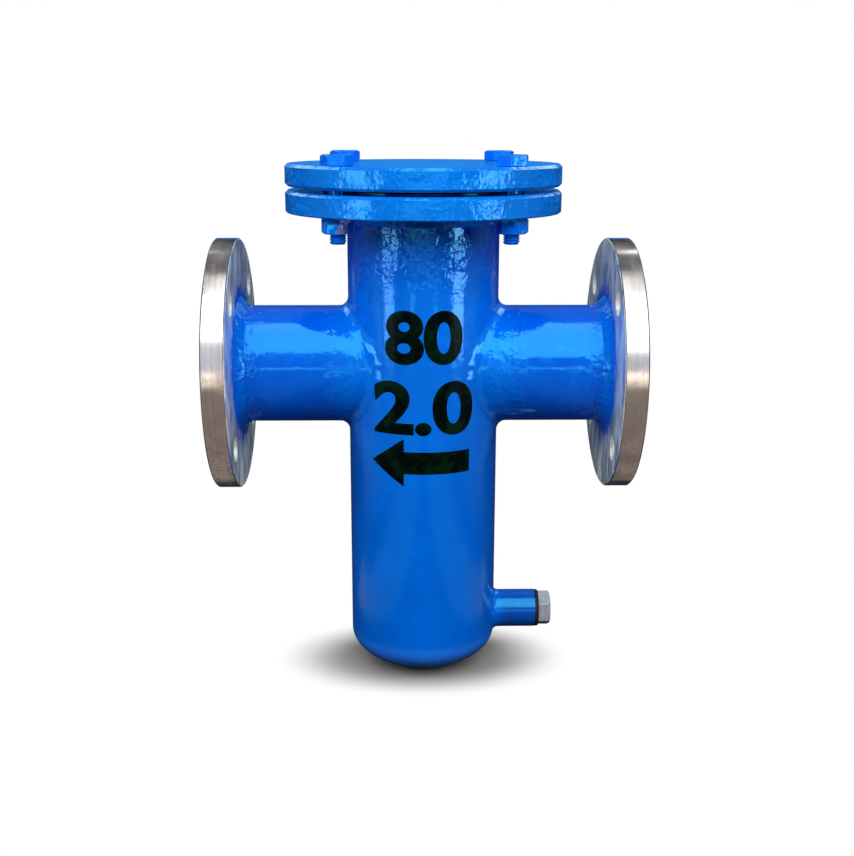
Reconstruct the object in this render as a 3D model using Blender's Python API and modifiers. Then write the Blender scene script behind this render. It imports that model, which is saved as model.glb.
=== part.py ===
# Basket strainer for a 3-inch pipeline: a welded pipe body with two flanged nozzles,
# a bolted cover, and a perforated basket on a slanted seat.
# Metres, +Z up. The origin is where the barrel's axis crosses the axis of the nozzles.
# The flow comes in at +X, falls into the basket and leaves through its wall at -X.

import math

import bmesh
import bpy
from mathutils import Matrix

# Clearance between pieces that touch
GAP = 0.0003

# Barrel and bottom cap
BARREL_OD = 0.1143
BARREL_WALL = 0.0060
HEAD_TANGENT_Z = -0.2165
HEAD_RATIO = 2.0
SEAM_MARGIN = 0.0020

# Nozzles and their flanges
FACE_TO_FACE = 0.3160
NOZZLE_OD = 0.0889
NOZZLE_WALL = 0.0055
NOZZLE_FILLET = 0.0080
FLANGE_STUD_STANDOFF = 0.03175
FLANGE_STUD_EDGE = 0.01905
FLANGE_HOLE = 0.0190
FLANGE_HOLES = 4
FLANGE_RIM = 0.0172
FLANGE_RAISED = 0.0016
FLANGE_RAISED_MARGIN = 0.0032
FLANGE_CHAMFER = 0.0010
FLANGE_WELD = 0.0070
PIPE_SETBACK = 0.0060

# Bolted joint of body flange and cover
BODY_FLANGE_Z = 0.1155
BODY_FLANGE_RIM = 0.0160
COVER_RIM = 0.0160
TOP_RAISED = 0.0005
TOP_RAISED_MARGIN = 0.00435
TOP_CHAMFER = 0.0020
TOP_BOLTS = 4
BOLT_STANDOFF = 0.02885
BOLT_EDGE = 0.0165
BODY_WELD = 0.0080
WELD_HOLLOW = 0.3
BARREL_SETBACK = 0.0040
GASKET_THICKNESS = 0.0015
GASKET_INSET = 0.0010

# Cover bolts and nuts
BOLT_DIAMETER = 0.0120
BOLT_PLAY = 0.0020
BOLT_PROJECTION = 0.0073
HEX_FLATS = 0.0205
BOLT_HEAD = 0.0075
NUT_HEIGHT = 0.0110
THREAD_CLEARANCE = 0.0004
BOLT_TIP = 0.0012
HEX_CROWN_SHARE = 0.96
HEX_CHAMFER_ANGLE = math.radians(30.0)
HEAD_TURNS = (29.0, 49.0, 35.0, 33.0)
NUT_TURNS = (20.0, 20.0, 5.0, 50.0)
BOLT_NAMES = ("front_left", "front_right", "rear_right", "rear_left")
FIRST_BOLT_ANGLE = 225.0

# Drain
DRAIN_ABOVE_TANGENT = 0.0132
DRAIN_OD = 0.0300
DRAIN_WALL = 0.0030
DRAIN_LENGTH = 0.0330
DRAIN_FILLET = 0.0045
PLUG_INSET = 0.0015
PLUG_HEAD = 0.0096
PLUG_SHANK = 0.0150
PLUG_TURN = 28.0
SEAL_THICKNESS = 0.0024
SEAL_INSET = 0.0005

# Basket and its seat
SEAT_MARGIN = 0.0080
SEAT_THICKNESS = 0.0050
SEAT_CLEARANCE = 0.0010
ANNULUS = 0.0060
RIM_CLEARANCE = 0.0010
RIM_THICKNESS = 0.0030
COLLAR_WALL = 0.0012
COLLAR_DEPTH = 0.0120
SCREEN_SHEET = 0.0015
SCREEN_COLUMNS = 14
SCREEN_HOLE_SHARE = 0.66
SUMP_DEPTH = 0.0315
DISH_LIP = 0.0080
DISH_SHEET = 0.0015
HANDLE_ROD = 0.0060
HANDLE_LAP = 0.0100

# Fineness of round pieces
RING_SEGMENTS = 48
SMALL_SEGMENTS = 24
HOLE_SEGMENTS = 16
DOME_STEPS = 6
FILLET_STEPS = 3
FOOT_STEPS = 3
ARCH_STEPS = 16
SHARP_ANGLE = math.radians(28.0)

# Places that several pieces share
barrel_radius = BARREL_OD / 2
barrel_inside = barrel_radius - BARREL_WALL
nozzle_radius = NOZZLE_OD / 2
nozzle_bore = nozzle_radius - NOZZLE_WALL
stud_circle_radius = nozzle_radius + FLANGE_STUD_STANDOFF
flange_radius = stud_circle_radius + FLANGE_STUD_EDGE
flange_raised_radius = stud_circle_radius - FLANGE_HOLE / 2 - FLANGE_RAISED_MARGIN
bolt_hole = BOLT_DIAMETER + BOLT_PLAY
bolt_circle_radius = barrel_radius + BOLT_STANDOFF
top_flange_radius = bolt_circle_radius + BOLT_EDGE
raised_radius = bolt_circle_radius - bolt_hole / 2 - TOP_RAISED_MARGIN
body_flange_top = BODY_FLANGE_Z + BODY_FLANGE_RIM
gasket_z = body_flange_top + TOP_RAISED + GAP
gasket_bore = barrel_radius + GASKET_INSET
cover_face = gasket_z + GASKET_THICKNESS + GAP
cover_top = cover_face + TOP_RAISED + COVER_RIM
bolt_head_z = cover_top + GAP
nut_z = BODY_FLANGE_Z - GAP - NUT_HEIGHT
bolt_length = bolt_head_z - nut_z + BOLT_PROJECTION
drain_z = HEAD_TANGENT_Z + DRAIN_ABOVE_TANGENT
seam_z = drain_z + DRAIN_OD / 2 + DRAIN_FILLET + SEAM_MARGIN
drain_end = barrel_radius + DRAIN_LENGTH
drain_bore = DRAIN_OD / 2 - DRAIN_WALL
seat_slope = (nozzle_bore + SEAT_MARGIN) / barrel_inside
screen_radius = barrel_inside - ANNULUS
screen_flatness = math.cos(math.pi / SCREEN_COLUMNS / 2)
collar_radius = (screen_radius - SCREEN_SHEET) * screen_flatness - GAP
basket_bottom_z = HEAD_TANGENT_Z + SUMP_DEPTH


def clear_scene():
    """Start from nothing, whatever the file held."""
    for obj in list(bpy.data.objects):
        bpy.data.objects.remove(obj, do_unlink=True)


def collection(name):
    """A collection of the scene."""
    group = bpy.data.collections.new(name)
    bpy.context.scene.collection.children.link(group)
    return group


def material(name, colour, roughness, metallic):
    """A plain Principled material."""
    mat = bpy.data.materials.new(name)
    mat.use_nodes = True
    shader = mat.node_tree.nodes["Principled BSDF"]
    shader.inputs["Base Color"].default_value = (*colour, 1.0)
    shader.inputs["Roughness"].default_value = roughness
    shader.inputs["Metallic"].default_value = metallic
    return mat


def add_object(name, data, mat=None):
    """Link a mesh or curve as a piece of the strainer."""
    obj = bpy.data.objects.new(name, data)
    parts.objects.link(obj)
    if mat:
        data.materials.append(mat)
    return obj


def settle(obj):
    """Make the modifiers' result the object's own mesh, with smooth round faces and crisp edges."""
    seen = obj.evaluated_get(bpy.context.evaluated_depsgraph_get())
    mesh = bpy.data.meshes.new_from_object(seen)
    obj.modifiers.clear()
    obj.data = mesh
    mesh.shade_smooth()
    mesh.set_sharp_from_angle(angle=SHARP_ANGLE)
    return obj


def turned(name, profile, mat, segments=RING_SEGMENTS):
    """Turn a profile of (radius, height) points about Z; one that leaves the axis is a closed ring."""
    closed = profile[0][0] > 0 or profile[-1][0] > 0
    edges = [(i, i + 1) for i in range(len(profile) - 1)]
    if closed:
        edges.append((len(profile) - 1, 0))
    mesh = bpy.data.meshes.new(name)
    mesh.from_pydata([(r, 0.0, z) for r, z in profile], edges, [])
    obj = add_object(name, mesh, mat)
    screw = obj.modifiers.new("Screw", 'SCREW')
    screw.steps = segments
    screw.render_steps = segments
    screw.use_merge_vertices = True
    screw.merge_threshold = 0.00001
    return settle(obj)


def cutter(name, radius, length, place, segments):
    """A cylinder, centred on the given place matrix, that cuts a hole along the place's Z."""
    mesh = bpy.data.meshes.new(name)
    bm = bmesh.new()
    bmesh.ops.create_cone(bm, cap_ends=True, segments=segments, radius1=radius, radius2=radius, depth=length)
    bm.to_mesh(mesh)
    bm.free()
    obj = bpy.data.objects.new(name, mesh)
    cutters.objects.link(obj)
    obj.matrix_world = place
    obj.hide_render = True
    obj.display_type = 'WIRE'
    return obj


def combine(obj, other, operation='DIFFERENCE'):
    """Cut, join or intersect an object with another one."""
    boolean = obj.modifiers.new(operation.title(), 'BOOLEAN')
    boolean.operation = operation
    boolean.solver = 'EXACT'
    boolean.object = other
    bpy.context.view_layer.update()
    return settle(obj)


def absorb(obj, other, operation):
    """Combine an object with a blank that isn't kept."""
    combine(obj, other, operation)
    bpy.data.objects.remove(other, do_unlink=True)
    return obj


def ring_places(radius, count, first_angle):
    """Points spaced evenly round a circle about Z."""
    angles = [math.radians(first_angle + i * 360.0 / count) for i in range(count)]
    return [(radius * math.cos(a), radius * math.sin(a)) for a in angles]


def drill(obj, places, diameter, depth_middle, length):
    """Drill a hole along the object's own Z at each place."""
    for i, (x, y) in enumerate(places):
        place = obj.matrix_world @ Matrix.Translation((x, y, depth_middle))
        tool = cutter(f"{obj.name}_hole_{i + 1}", diameter / 2, length, place, HOLE_SEGMENTS)
        combine(obj, tool)


def along_x(obj, side, reach, height=0.0):
    """Lay a turned piece along X, its top facing away from the barrel on the given side."""
    obj.location = (side * reach, 0.0, height)
    obj.rotation_euler = (0.0, side * math.pi / 2, 0.0)
    bpy.context.view_layer.update()


def shear_to_seat(obj):
    """Tilt a level ring to the plane of the seat and keep its walls upright."""
    tilt = Matrix.Identity(4)
    tilt[2][0] = -seat_slope
    obj.data.transform(tilt)


def dome(radius, depth):
    """Points of an elliptical head from its tangent plane to its lowest point."""
    steps = [math.pi / 2 * i / DOME_STEPS for i in range(DOME_STEPS)]
    points = [(radius * math.cos(a), HEAD_TANGENT_Z - depth * math.sin(a)) for a in steps]
    return points + [(0.0, HEAD_TANGENT_Z - depth)]


def shell_reach(y, z):
    """How far the barrel's or the head's outside lies from the YZ plane."""
    drop = max(HEAD_TANGENT_Z - z, 0.0) / (barrel_radius / HEAD_RATIO)
    radius = barrel_radius * math.sqrt(max(1.0 - drop * drop, 0.0))
    return math.sqrt(max(radius * radius - y * y, 0.0))


def bezier(start, middle, end, t):
    """Point of a quadratic curve."""
    return tuple(a * (1 - t) ** 2 + b * 2 * t * (1 - t) + c * t * t for a, b, c in zip(start, middle, end))


def branch_section(angle, outer, bore, fillet, end, axis_z):
    """Section of a branch pipe, as (distance along X, radius), in the half plane at the angle."""
    across, up = math.cos(angle), math.sin(angle)

    def reach(r):
        return shell_reach(r * across, axis_z + r * up)

    step = 0.0001
    slope = (reach(outer + step) - reach(outer)) / step
    foot = outer + fillet / math.sqrt(1 + slope * slope)
    corner = (reach(outer), outer)
    points = [(end, outer)]
    for i in range(FILLET_STEPS + 1):
        x, r = bezier((corner[0] + fillet, outer), corner, (reach(foot), foot), i / FILLET_STEPS)
        points.append((x + (GAP if i == FILLET_STEPS else 0.0), r))
    for i in range(1, FOOT_STEPS + 1):
        r = foot + (bore - foot) * i / FOOT_STEPS
        points.append((reach(r) + GAP, r))
    points.append((end, bore))
    return [(x, r * across, axis_z + r * up) for x, r in points]


def branch(name, side, outer, bore, fillet, end, axis_z, mat, segments=RING_SEGMENTS):
    """A pipe stub set on the shell, with its saddle and weld fillet, lofted round its axis."""
    bm = bmesh.new()
    rings = []
    for i in range(segments):
        section = branch_section(2 * math.pi * i / segments, outer, bore, fillet, end, axis_z)
        rings.append([bm.verts.new((side * x, y, z)) for x, y, z in section])
    for ring, following in zip(rings, rings[1:] + rings[:1]):
        for j in range(len(ring)):
            k = (j + 1) % len(ring)
            bm.faces.new((ring[j], ring[k], following[k], following[j]))
    bmesh.ops.recalc_face_normals(bm, faces=bm.faces)
    mesh = bpy.data.meshes.new(name)
    bm.to_mesh(mesh)
    bm.free()
    return settle(add_object(name, mesh, mat))


def weld_ring(name, pipe_radius, leg, mat):
    """Hollow fillet weld in the corner of a pipe and the plate above it, whose face is at height 0."""
    inner = pipe_radius + GAP
    hollow = (pipe_radius + leg * WELD_HOLLOW, -GAP - leg * WELD_HOLLOW)
    profile = [
        bezier((pipe_radius + leg, -GAP), hollow, (inner, -GAP - leg), i / FILLET_STEPS)
        for i in range(FILLET_STEPS + 1)
    ]
    return turned(name, profile + [(inner, -GAP)], mat)


def make_barrel(mat):
    """Pipe with an opening for each nozzle."""
    top = body_flange_top + TOP_RAISED - BARREL_SETBACK
    bottom = seam_z + GAP
    barrel = turned("barrel", [
        (barrel_radius, top), (barrel_radius, bottom), (barrel_inside, bottom), (barrel_inside, top),
    ], mat)
    through = Matrix.Rotation(math.pi / 2, 4, 'Y')
    combine(barrel, cutter("nozzle_openings", nozzle_bore, BARREL_OD * 1.5, through, RING_SEGMENTS))


def make_bottom_cap(mat):
    """Elliptical pipe cap with a straight skirt, drilled for the drain."""
    depth = barrel_radius / HEAD_RATIO
    outside = [(barrel_radius, seam_z)] + dome(barrel_radius, depth)
    inside = [(barrel_inside, seam_z)] + dome(barrel_inside, depth - BARREL_WALL)
    cap = turned("bottom_cap", list(reversed(inside)) + outside, mat)
    place = Matrix.Translation((barrel_radius, 0.0, drain_z)) @ Matrix.Rotation(math.pi / 2, 4, 'Y')
    combine(cap, cutter("drain_opening", drain_bore, BARREL_OD / 2, place, SMALL_SEGMENTS))


def make_body_flange(mat):
    """Ring flange slipped over the barrel's top, with its weld underneath."""
    outer, bore = top_flange_radius, barrel_radius + GAP
    low, high = BODY_FLANGE_Z, body_flange_top
    flange = turned("body_flange", [
        (raised_radius, high + TOP_RAISED), (raised_radius, high),
        (outer - TOP_CHAMFER, high), (outer, high - TOP_CHAMFER),
        (outer, low + TOP_CHAMFER / 2), (outer - TOP_CHAMFER / 2, low),
        (bore, low), (bore, high + TOP_RAISED),
    ], mat)
    places = ring_places(bolt_circle_radius, TOP_BOLTS, FIRST_BOLT_ANGLE)
    drill(flange, places, bolt_hole, low + BODY_FLANGE_RIM / 2, BODY_FLANGE_RIM * 2)
    weld = weld_ring("body_flange_weld", barrel_radius, BODY_WELD, mat)
    weld.location.z = BODY_FLANGE_Z


def make_nozzle(name, side, paint, metal):
    """Nozzle pipe, its plate flange with a raised face, and the weld behind the flange."""
    reach = FACE_TO_FACE / 2
    branch(f"{name}_nozzle", side, nozzle_radius, nozzle_bore, NOZZLE_FILLET, reach - PIPE_SETBACK, 0.0, paint)
    outer, bore, raised = flange_radius, nozzle_radius + GAP, flange_raised_radius
    front, back = -FLANGE_RAISED, -FLANGE_RAISED - FLANGE_RIM
    flange = turned(f"{name}_flange", [
        (raised, 0.0), (raised, front), (outer - FLANGE_CHAMFER, front), (outer, front - FLANGE_CHAMFER),
        (outer, back + FLANGE_CHAMFER), (outer - FLANGE_CHAMFER, back), (bore, back), (bore, 0.0),
    ], metal)
    along_x(flange, side, reach)
    places = ring_places(stud_circle_radius, FLANGE_HOLES, 180.0 / FLANGE_HOLES)
    drill(flange, places, FLANGE_HOLE, (front + back) / 2, FLANGE_RIM * 2)
    weld = weld_ring(f"{name}_flange_weld", nozzle_radius, FLANGE_WELD, paint)
    along_x(weld, side, reach + back)


def make_cover(mat):
    """Blind flange with a raised face underneath."""
    outer, low, high = top_flange_radius, cover_face + TOP_RAISED, cover_top
    cover = turned("cover", [
        (0.0, high), (outer - TOP_CHAMFER, high), (outer, high - TOP_CHAMFER),
        (outer, low + TOP_CHAMFER), (outer - TOP_CHAMFER, low), (raised_radius, low),
        (raised_radius, cover_face), (0.0, cover_face),
    ], mat)
    places = ring_places(bolt_circle_radius, TOP_BOLTS, FIRST_BOLT_ANGLE)
    drill(cover, places, bolt_hole, high - COVER_RIM / 2, COVER_RIM * 2)


def make_gasket(mat):
    """Flat ring between the two raised faces."""
    low, high = gasket_z, gasket_z + GASKET_THICKNESS
    turned("cover_gasket", [
        (raised_radius - GAP, high), (raised_radius - GAP, low), (gasket_bore, low), (gasket_bore, high),
    ], mat)


def hexagon(name, flats, height, chamfer_both, mat):
    """Hexagon standing on height 0, its corners taken off by a cone above, and below if asked."""
    corner = flats / math.sqrt(3.0)
    mesh = bpy.data.meshes.new(name)
    bm = bmesh.new()
    lift = Matrix.Translation((0.0, 0.0, height / 2))
    bmesh.ops.create_cone(
        bm, cap_ends=True, segments=6, radius1=corner, radius2=corner, depth=height, matrix=lift)
    bm.to_mesh(mesh)
    bm.free()
    hexagonal = add_object(name, mesh, mat)
    crown = flats / 2 * HEX_CROWN_SHARE
    edge = corner + GAP
    bevel = (edge - crown) * math.tan(HEX_CHAMFER_ANGLE)
    foot = [(edge, bevel), (crown, 0.0)] if chamfer_both else [(edge, -height)]
    base = [(0.0, foot[-1][1])]
    blank = turned(f"{name}_blank", [(0.0, height), (crown, height), (edge, height - bevel)] + foot + base, mat,
                   SMALL_SEGMENTS)
    return absorb(hexagonal, blank, 'INTERSECT')


def make_bolt(name, x, y, turn, mesh, mat):
    """Hexagon bolt hanging through the cover and the body flange, with its origin on its own axis."""
    if mesh is None:
        bolt = hexagon(name, HEX_FLATS, BOLT_HEAD, False, mat)
        radius = BOLT_DIAMETER / 2
        shank = turned("shank_blank", [
            (0.0, BOLT_HEAD / 2), (radius, BOLT_HEAD / 2), (radius, BOLT_TIP - bolt_length),
            (radius - BOLT_TIP, -bolt_length), (0.0, -bolt_length),
        ], mat, HOLE_SEGMENTS)
        absorb(bolt, shank, 'UNION')
    else:
        bolt = add_object(name, mesh)
    bolt.location = (x, y, bolt_head_z)
    bolt.rotation_euler.z = math.radians(turn)
    return bolt.data


def make_nut(name, x, y, turn, mesh, mat):
    """Hexagon nut under the body flange, with its origin on its own axis."""
    if mesh is None:
        nut = hexagon(name, HEX_FLATS, NUT_HEIGHT, True, mat)
        middle = Matrix.Translation((0.0, 0.0, NUT_HEIGHT / 2))
        bore = BOLT_DIAMETER / 2 + THREAD_CLEARANCE
        combine(nut, cutter("nut_bore", bore, NUT_HEIGHT * 2, middle, HOLE_SEGMENTS))
    else:
        nut = add_object(name, mesh)
    nut.location = (x, y, nut_z)
    nut.rotation_euler.z = math.radians(turn)
    return nut.data


def make_cover_bolts(mat):
    """One bolt and one nut in each hole of the cover."""
    bolt_mesh = nut_mesh = None
    places = ring_places(bolt_circle_radius, TOP_BOLTS, FIRST_BOLT_ANGLE)
    for i, (x, y) in enumerate(places):
        corner = BOLT_NAMES[i] if i < len(BOLT_NAMES) else f"extra_{i + 1}"
        head_turn = HEAD_TURNS[i % len(HEAD_TURNS)]
        nut_turn = NUT_TURNS[i % len(NUT_TURNS)]
        bolt_mesh = make_bolt(f"cover_bolt_{corner}", x, y, head_turn, bolt_mesh, mat)
        nut_mesh = make_nut(f"cover_nut_{corner}", x, y, nut_turn, nut_mesh, mat)


def make_drain(paint, rubber, zinc):
    """Threaded stub, the seal ring on its end and the hexagon plug screwed into it."""
    branch("drain_boss", 1, DRAIN_OD / 2, drain_bore, DRAIN_FILLET, drain_end, drain_z, paint, SMALL_SEGMENTS)
    outer = DRAIN_OD / 2 - SEAL_INSET
    seal = turned("drain_seal", [
        (outer, SEAL_THICKNESS), (outer, 0.0), (drain_bore, 0.0), (drain_bore, SEAL_THICKNESS),
    ], rubber, SMALL_SEGMENTS)
    along_x(seal, 1, drain_end + GAP, drain_z)
    plug = hexagon("drain_plug", DRAIN_OD - 2 * PLUG_INSET, PLUG_HEAD, False, zinc)
    radius = drain_bore - GAP
    shank = turned("plug_blank", [
        (0.0, PLUG_HEAD / 2), (radius, PLUG_HEAD / 2), (radius, BOLT_TIP - PLUG_SHANK),
        (radius - BOLT_TIP, -PLUG_SHANK), (0.0, -PLUG_SHANK),
    ], zinc, SMALL_SEGMENTS)
    absorb(plug, shank, 'UNION')
    plug.data.transform(Matrix.Rotation(math.radians(PLUG_TURN), 4, 'Z'))
    along_x(plug, 1, drain_end + SEAL_THICKNESS + 2 * GAP, drain_z)


def make_seat(mat):
    """Slanted ring in the barrel, above the outlet opening and below the inlet opening."""
    outer, bore = barrel_inside - GAP, screen_radius + SEAT_CLEARANCE
    seat = turned("basket_seat", [(outer, 0.0), (outer, -SEAT_THICKNESS), (bore, -SEAT_THICKNESS), (bore, 0.0)],
                  mat)
    shear_to_seat(seat)


def make_basket_rim(mat):
    """Slanted flat ring that rests on the seat, with a collar inside the screen."""
    outer = barrel_inside - RIM_CLEARANCE
    inner = collar_radius - COLLAR_WALL
    low, high = GAP, GAP + RIM_THICKNESS
    rim = turned("basket_rim", [
        (outer, high), (outer, low), (collar_radius, low), (collar_radius, low - COLLAR_DEPTH),
        (inner, low - COLLAR_DEPTH), (inner, high),
    ], mat)
    shear_to_seat(rim)


def make_basket_screen(mat):
    """Sheet with staggered holes, rolled to a cylinder and cut along the seat's plane."""
    pitch = 2 * math.pi * screen_radius / SCREEN_COLUMNS
    corner = pitch / math.sqrt(3.0)
    row_height = corner * 1.5
    top = seat_slope * screen_radius
    rows = math.ceil((top - basket_bottom_z) / row_height) + 2
    around = [math.radians(30.0 + 60.0 * k) for k in range(6)]
    bm = bmesh.new()

    def cell(middle, height, size):
        turns = [middle + size * math.cos(a) / screen_radius for a in around]
        levels = [height + size * math.sin(a) for a in around]
        return [
            bm.verts.new((screen_radius * math.cos(t), screen_radius * math.sin(t), z))
            for t, z in zip(turns, levels)
        ]

    for j in range(rows):
        height = basket_bottom_z + j * row_height
        for i in range(SCREEN_COLUMNS):
            middle = (i + 0.5 * (j % 2)) * 2 * math.pi / SCREEN_COLUMNS
            border = cell(middle, height, corner)
            under_rim = all(v.co.z < -seat_slope * v.co.x - COLLAR_DEPTH for v in border)
            over_dish = height - corner > basket_bottom_z + DISH_LIP
            if under_rim and over_dish:
                hole = cell(middle, height, corner * SCREEN_HOLE_SHARE)
                for k in range(6):
                    n = (k + 1) % 6
                    bm.faces.new((border[k], border[n], hole[n], hole[k]))
            else:
                hub = cell(middle, height, 0.0)[0]
                for k in range(6):
                    bm.faces.new((border[k], border[(k + 1) % 6], hub))
    bmesh.ops.remove_doubles(bm, verts=bm.verts, dist=0.00001)
    everything = bm.verts[:] + bm.edges[:] + bm.faces[:]
    bmesh.ops.bisect_plane(
        bm, geom=everything, dist=0.000001, plane_co=(0.0, 0.0, basket_bottom_z), plane_no=(0.0, 0.0, -1.0),
        clear_outer=True)
    mesh = bpy.data.meshes.new("basket_screen")
    bm.to_mesh(mesh)
    bm.free()
    screen = add_object("basket_screen", mesh, mat)
    solidify = screen.modifiers.new("Sheet", 'SOLIDIFY')
    solidify.thickness = SCREEN_SHEET
    solidify.offset = -1.0
    settle(screen)
    waste = rows * row_height
    lift = Matrix.Translation((0.0, 0.0, waste / 2))
    tool = cutter("screen_top_cut", barrel_radius, waste, lift, RING_SEGMENTS)
    shear_to_seat(tool)
    combine(screen, tool)


def make_basket_bottom(mat):
    """Dished plate whose lip stands inside the screen."""
    outer = collar_radius
    inner = outer - DISH_SHEET
    low = basket_bottom_z
    turned("basket_bottom", [
        (0.0, low + DISH_SHEET), (inner, low + DISH_SHEET), (inner, low + DISH_LIP),
        (outer, low + DISH_LIP), (outer, low), (0.0, low),
    ], mat)


def make_basket_handle(mat):
    """Round rod bent to a bail; its legs lie against the collar and its top is just under the cover."""
    rod = HANDLE_ROD / 2
    arch = collar_radius - COLLAR_WALL - GAP * 2 - rod
    crown = cover_face - GAP - rod
    spring = crown - arch
    points = [(0.0, -arch, -HANDLE_LAP)]
    for i in range(ARCH_STEPS + 1):
        angle = math.pi * i / ARCH_STEPS
        points.append((0.0, -arch * math.cos(angle), spring + arch * math.sin(angle)))
    points.append((0.0, arch, -HANDLE_LAP))
    curve = bpy.data.curves.new("basket_handle", 'CURVE')
    curve.dimensions = '3D'
    curve.bevel_depth = rod
    curve.bevel_resolution = 2
    curve.use_fill_caps = True
    spline = curve.splines.new('POLY')
    spline.points.add(len(points) - 1)
    for point, co in zip(spline.points, points):
        point.co = (*co, 1.0)
    add_object("basket_handle", curve, mat)


clear_scene()
parts = collection("basket_strainer")
cutters = collection("cutters")
blue = material("blue_enamel", (0.0, 0.19, 0.72), 0.28, 0.0)
steel = material("turned_steel", (0.52, 0.50, 0.47), 0.35, 1.0)
zinc_plate = material("zinc_plate", (0.62, 0.64, 0.66), 0.35, 1.0)
stainless = material("stainless_sheet", (0.60, 0.60, 0.58), 0.32, 1.0)
fibre = material("gasket_fibre", (0.03, 0.03, 0.035), 0.75, 0.0)
black_rubber = material("black_rubber", (0.02, 0.02, 0.02), 0.6, 0.0)
make_barrel(blue)
make_bottom_cap(blue)
make_body_flange(blue)
make_nozzle("inlet", 1, blue, steel)
make_nozzle("outlet", -1, blue, steel)
make_cover(blue)
make_gasket(fibre)
make_cover_bolts(blue)
make_drain(blue, black_rubber, zinc_plate)
make_seat(stainless)
make_basket_rim(stainless)
make_basket_screen(stainless)
make_basket_bottom(stainless)
make_basket_handle(stainless)
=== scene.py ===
import math

import bmesh
import bpy
from mathutils import Matrix, Vector, noise
from mathutils.bvhtree import BVHTree


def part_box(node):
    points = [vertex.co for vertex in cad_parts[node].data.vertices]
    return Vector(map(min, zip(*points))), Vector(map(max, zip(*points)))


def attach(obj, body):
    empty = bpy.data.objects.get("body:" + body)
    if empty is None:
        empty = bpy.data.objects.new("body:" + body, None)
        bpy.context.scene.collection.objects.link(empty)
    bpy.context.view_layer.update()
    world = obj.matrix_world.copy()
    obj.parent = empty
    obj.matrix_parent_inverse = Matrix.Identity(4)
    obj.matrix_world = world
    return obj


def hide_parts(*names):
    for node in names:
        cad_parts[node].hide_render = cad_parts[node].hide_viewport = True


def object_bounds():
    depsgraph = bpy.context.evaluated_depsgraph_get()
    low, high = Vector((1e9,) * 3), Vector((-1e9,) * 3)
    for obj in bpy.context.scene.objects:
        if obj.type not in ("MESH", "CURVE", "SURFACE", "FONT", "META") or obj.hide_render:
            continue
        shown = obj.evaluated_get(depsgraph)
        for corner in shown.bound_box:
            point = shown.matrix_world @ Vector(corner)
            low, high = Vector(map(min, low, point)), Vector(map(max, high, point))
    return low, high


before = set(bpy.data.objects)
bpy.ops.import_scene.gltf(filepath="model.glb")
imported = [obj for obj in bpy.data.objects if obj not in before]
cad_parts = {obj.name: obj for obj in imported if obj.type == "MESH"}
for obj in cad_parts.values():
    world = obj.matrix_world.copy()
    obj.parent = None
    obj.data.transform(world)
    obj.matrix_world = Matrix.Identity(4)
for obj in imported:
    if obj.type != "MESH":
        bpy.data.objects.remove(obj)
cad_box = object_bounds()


# Barrel: a length of seamless steel pipe, upright, with an opening cut in each side for the nozzles.
# Outside it has a thick glossy coat of blue enamel, sprayed on after welding. The inside is bare.
PIPE_STEPS = 192
BARREL_WALL = 0.0060
NOZZLE_RADIUS = 0.04445
NOZZLE_WALL = 0.0055
ALONG_X = (0.0, math.pi / 2, 0.0)
DOUBLES = 0.000001
PAINT = (0.0, 0.148, 0.80, 1.0)
PAINT_THIN = (0.0, 0.215, 0.88, 1.0)
# The darker blue below, used under the body flange and on the nozzles, is painted shade.
PAINT_SHADED = (0.0, 0.072, 0.68, 1.0)
# The lighter blue below, low on the head, is painted light standing in for light thrown up from the floor.
PAINT_LIT_HEAD = (0.025, 0.220, 1.0, 1.0)
PAINT_IOR = 1.80
PAINT_SHEEN_TINT = (0.09, 0.90, 1.0, 1.0)
ORANGE_PEEL = 0.00010
PIPE_SKIN = 0.0018
ROUGH_TOP = (0.045, 0.085)
ROUGH_NEAR_FLANGE = (0.112, 0.136)
ROUGH_HEAD = (-0.212, -0.236)
SADDLE_X = 0.060
BY_SADDLE = (0.018, 0.009)
BY_NOZZLE_LEVEL = (0.075, 0.050)
# Where the painted shade under the flange and on the nozzles begins and is full.
SHADE_UNDER_FLANGE = (0.050, 0.105)
SHADE_ON_NOZZLES = (0.056, 0.076)
# Where the painted light on the head begins and is full.
LIT_HEAD_BAND = (-0.210, -0.224)
MILL_SCALE = (0.12, 0.115, 0.11, 1.0)
MILL_SCALE_DARK = (0.045, 0.045, 0.05, 1.0)
RUST = (0.16, 0.075, 0.035, 1.0)

barrel_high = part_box("barrel")[1]
barrel_radius = barrel_high.x
barrel_inside = barrel_radius - BARREL_WALL
nozzle_bore = NOZZLE_RADIUS - NOZZLE_WALL
seam_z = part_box("bottom_cap")[1].z


class Pattern:
    """A number, colour or place that varies over a surface, for sums as with plain numbers."""

    def __init__(self, socket):
        self.socket = socket
        self.tree = socket.id_data

    def __add__(self, other):
        return sums('ADD', self, other)

    def __sub__(self, other):
        return sums('SUBTRACT', self, other)

    def __rsub__(self, other):
        return sums('SUBTRACT', other, self)

    def __mul__(self, other):
        return sums('MULTIPLY', self, other)

    def __abs__(self):
        return sums('ABSOLUTE', self)

    def most(self, other):
        """The greater of two values."""
        return sums('MAXIMUM', self, other)

    def ramp(self, low, high, to_low=0.0, to_high=1.0):
        """A range of this value mapped to another, clamped and smooth at the ends."""
        ends = {0: self, 1: low, 2: high, 3: to_low, 4: to_high}
        return add_node(self.tree, 'ShaderNodeMapRange', ends, interpolation_type='SMOOTHSTEP')[0]

    def mix(self, first, second):
        """Two colours blended, with this value as the share of the second."""
        return add_node(self.tree, 'ShaderNodeMix', {0: self, 6: first, 7: second}, data_type='RGBA')[2]

    def scaled(self, factor):
        """This colour made lighter or darker."""
        return add_node(self.tree, 'ShaderNodeVectorMath', {0: self, "Scale": factor}, operation='SCALE')[0]


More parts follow.
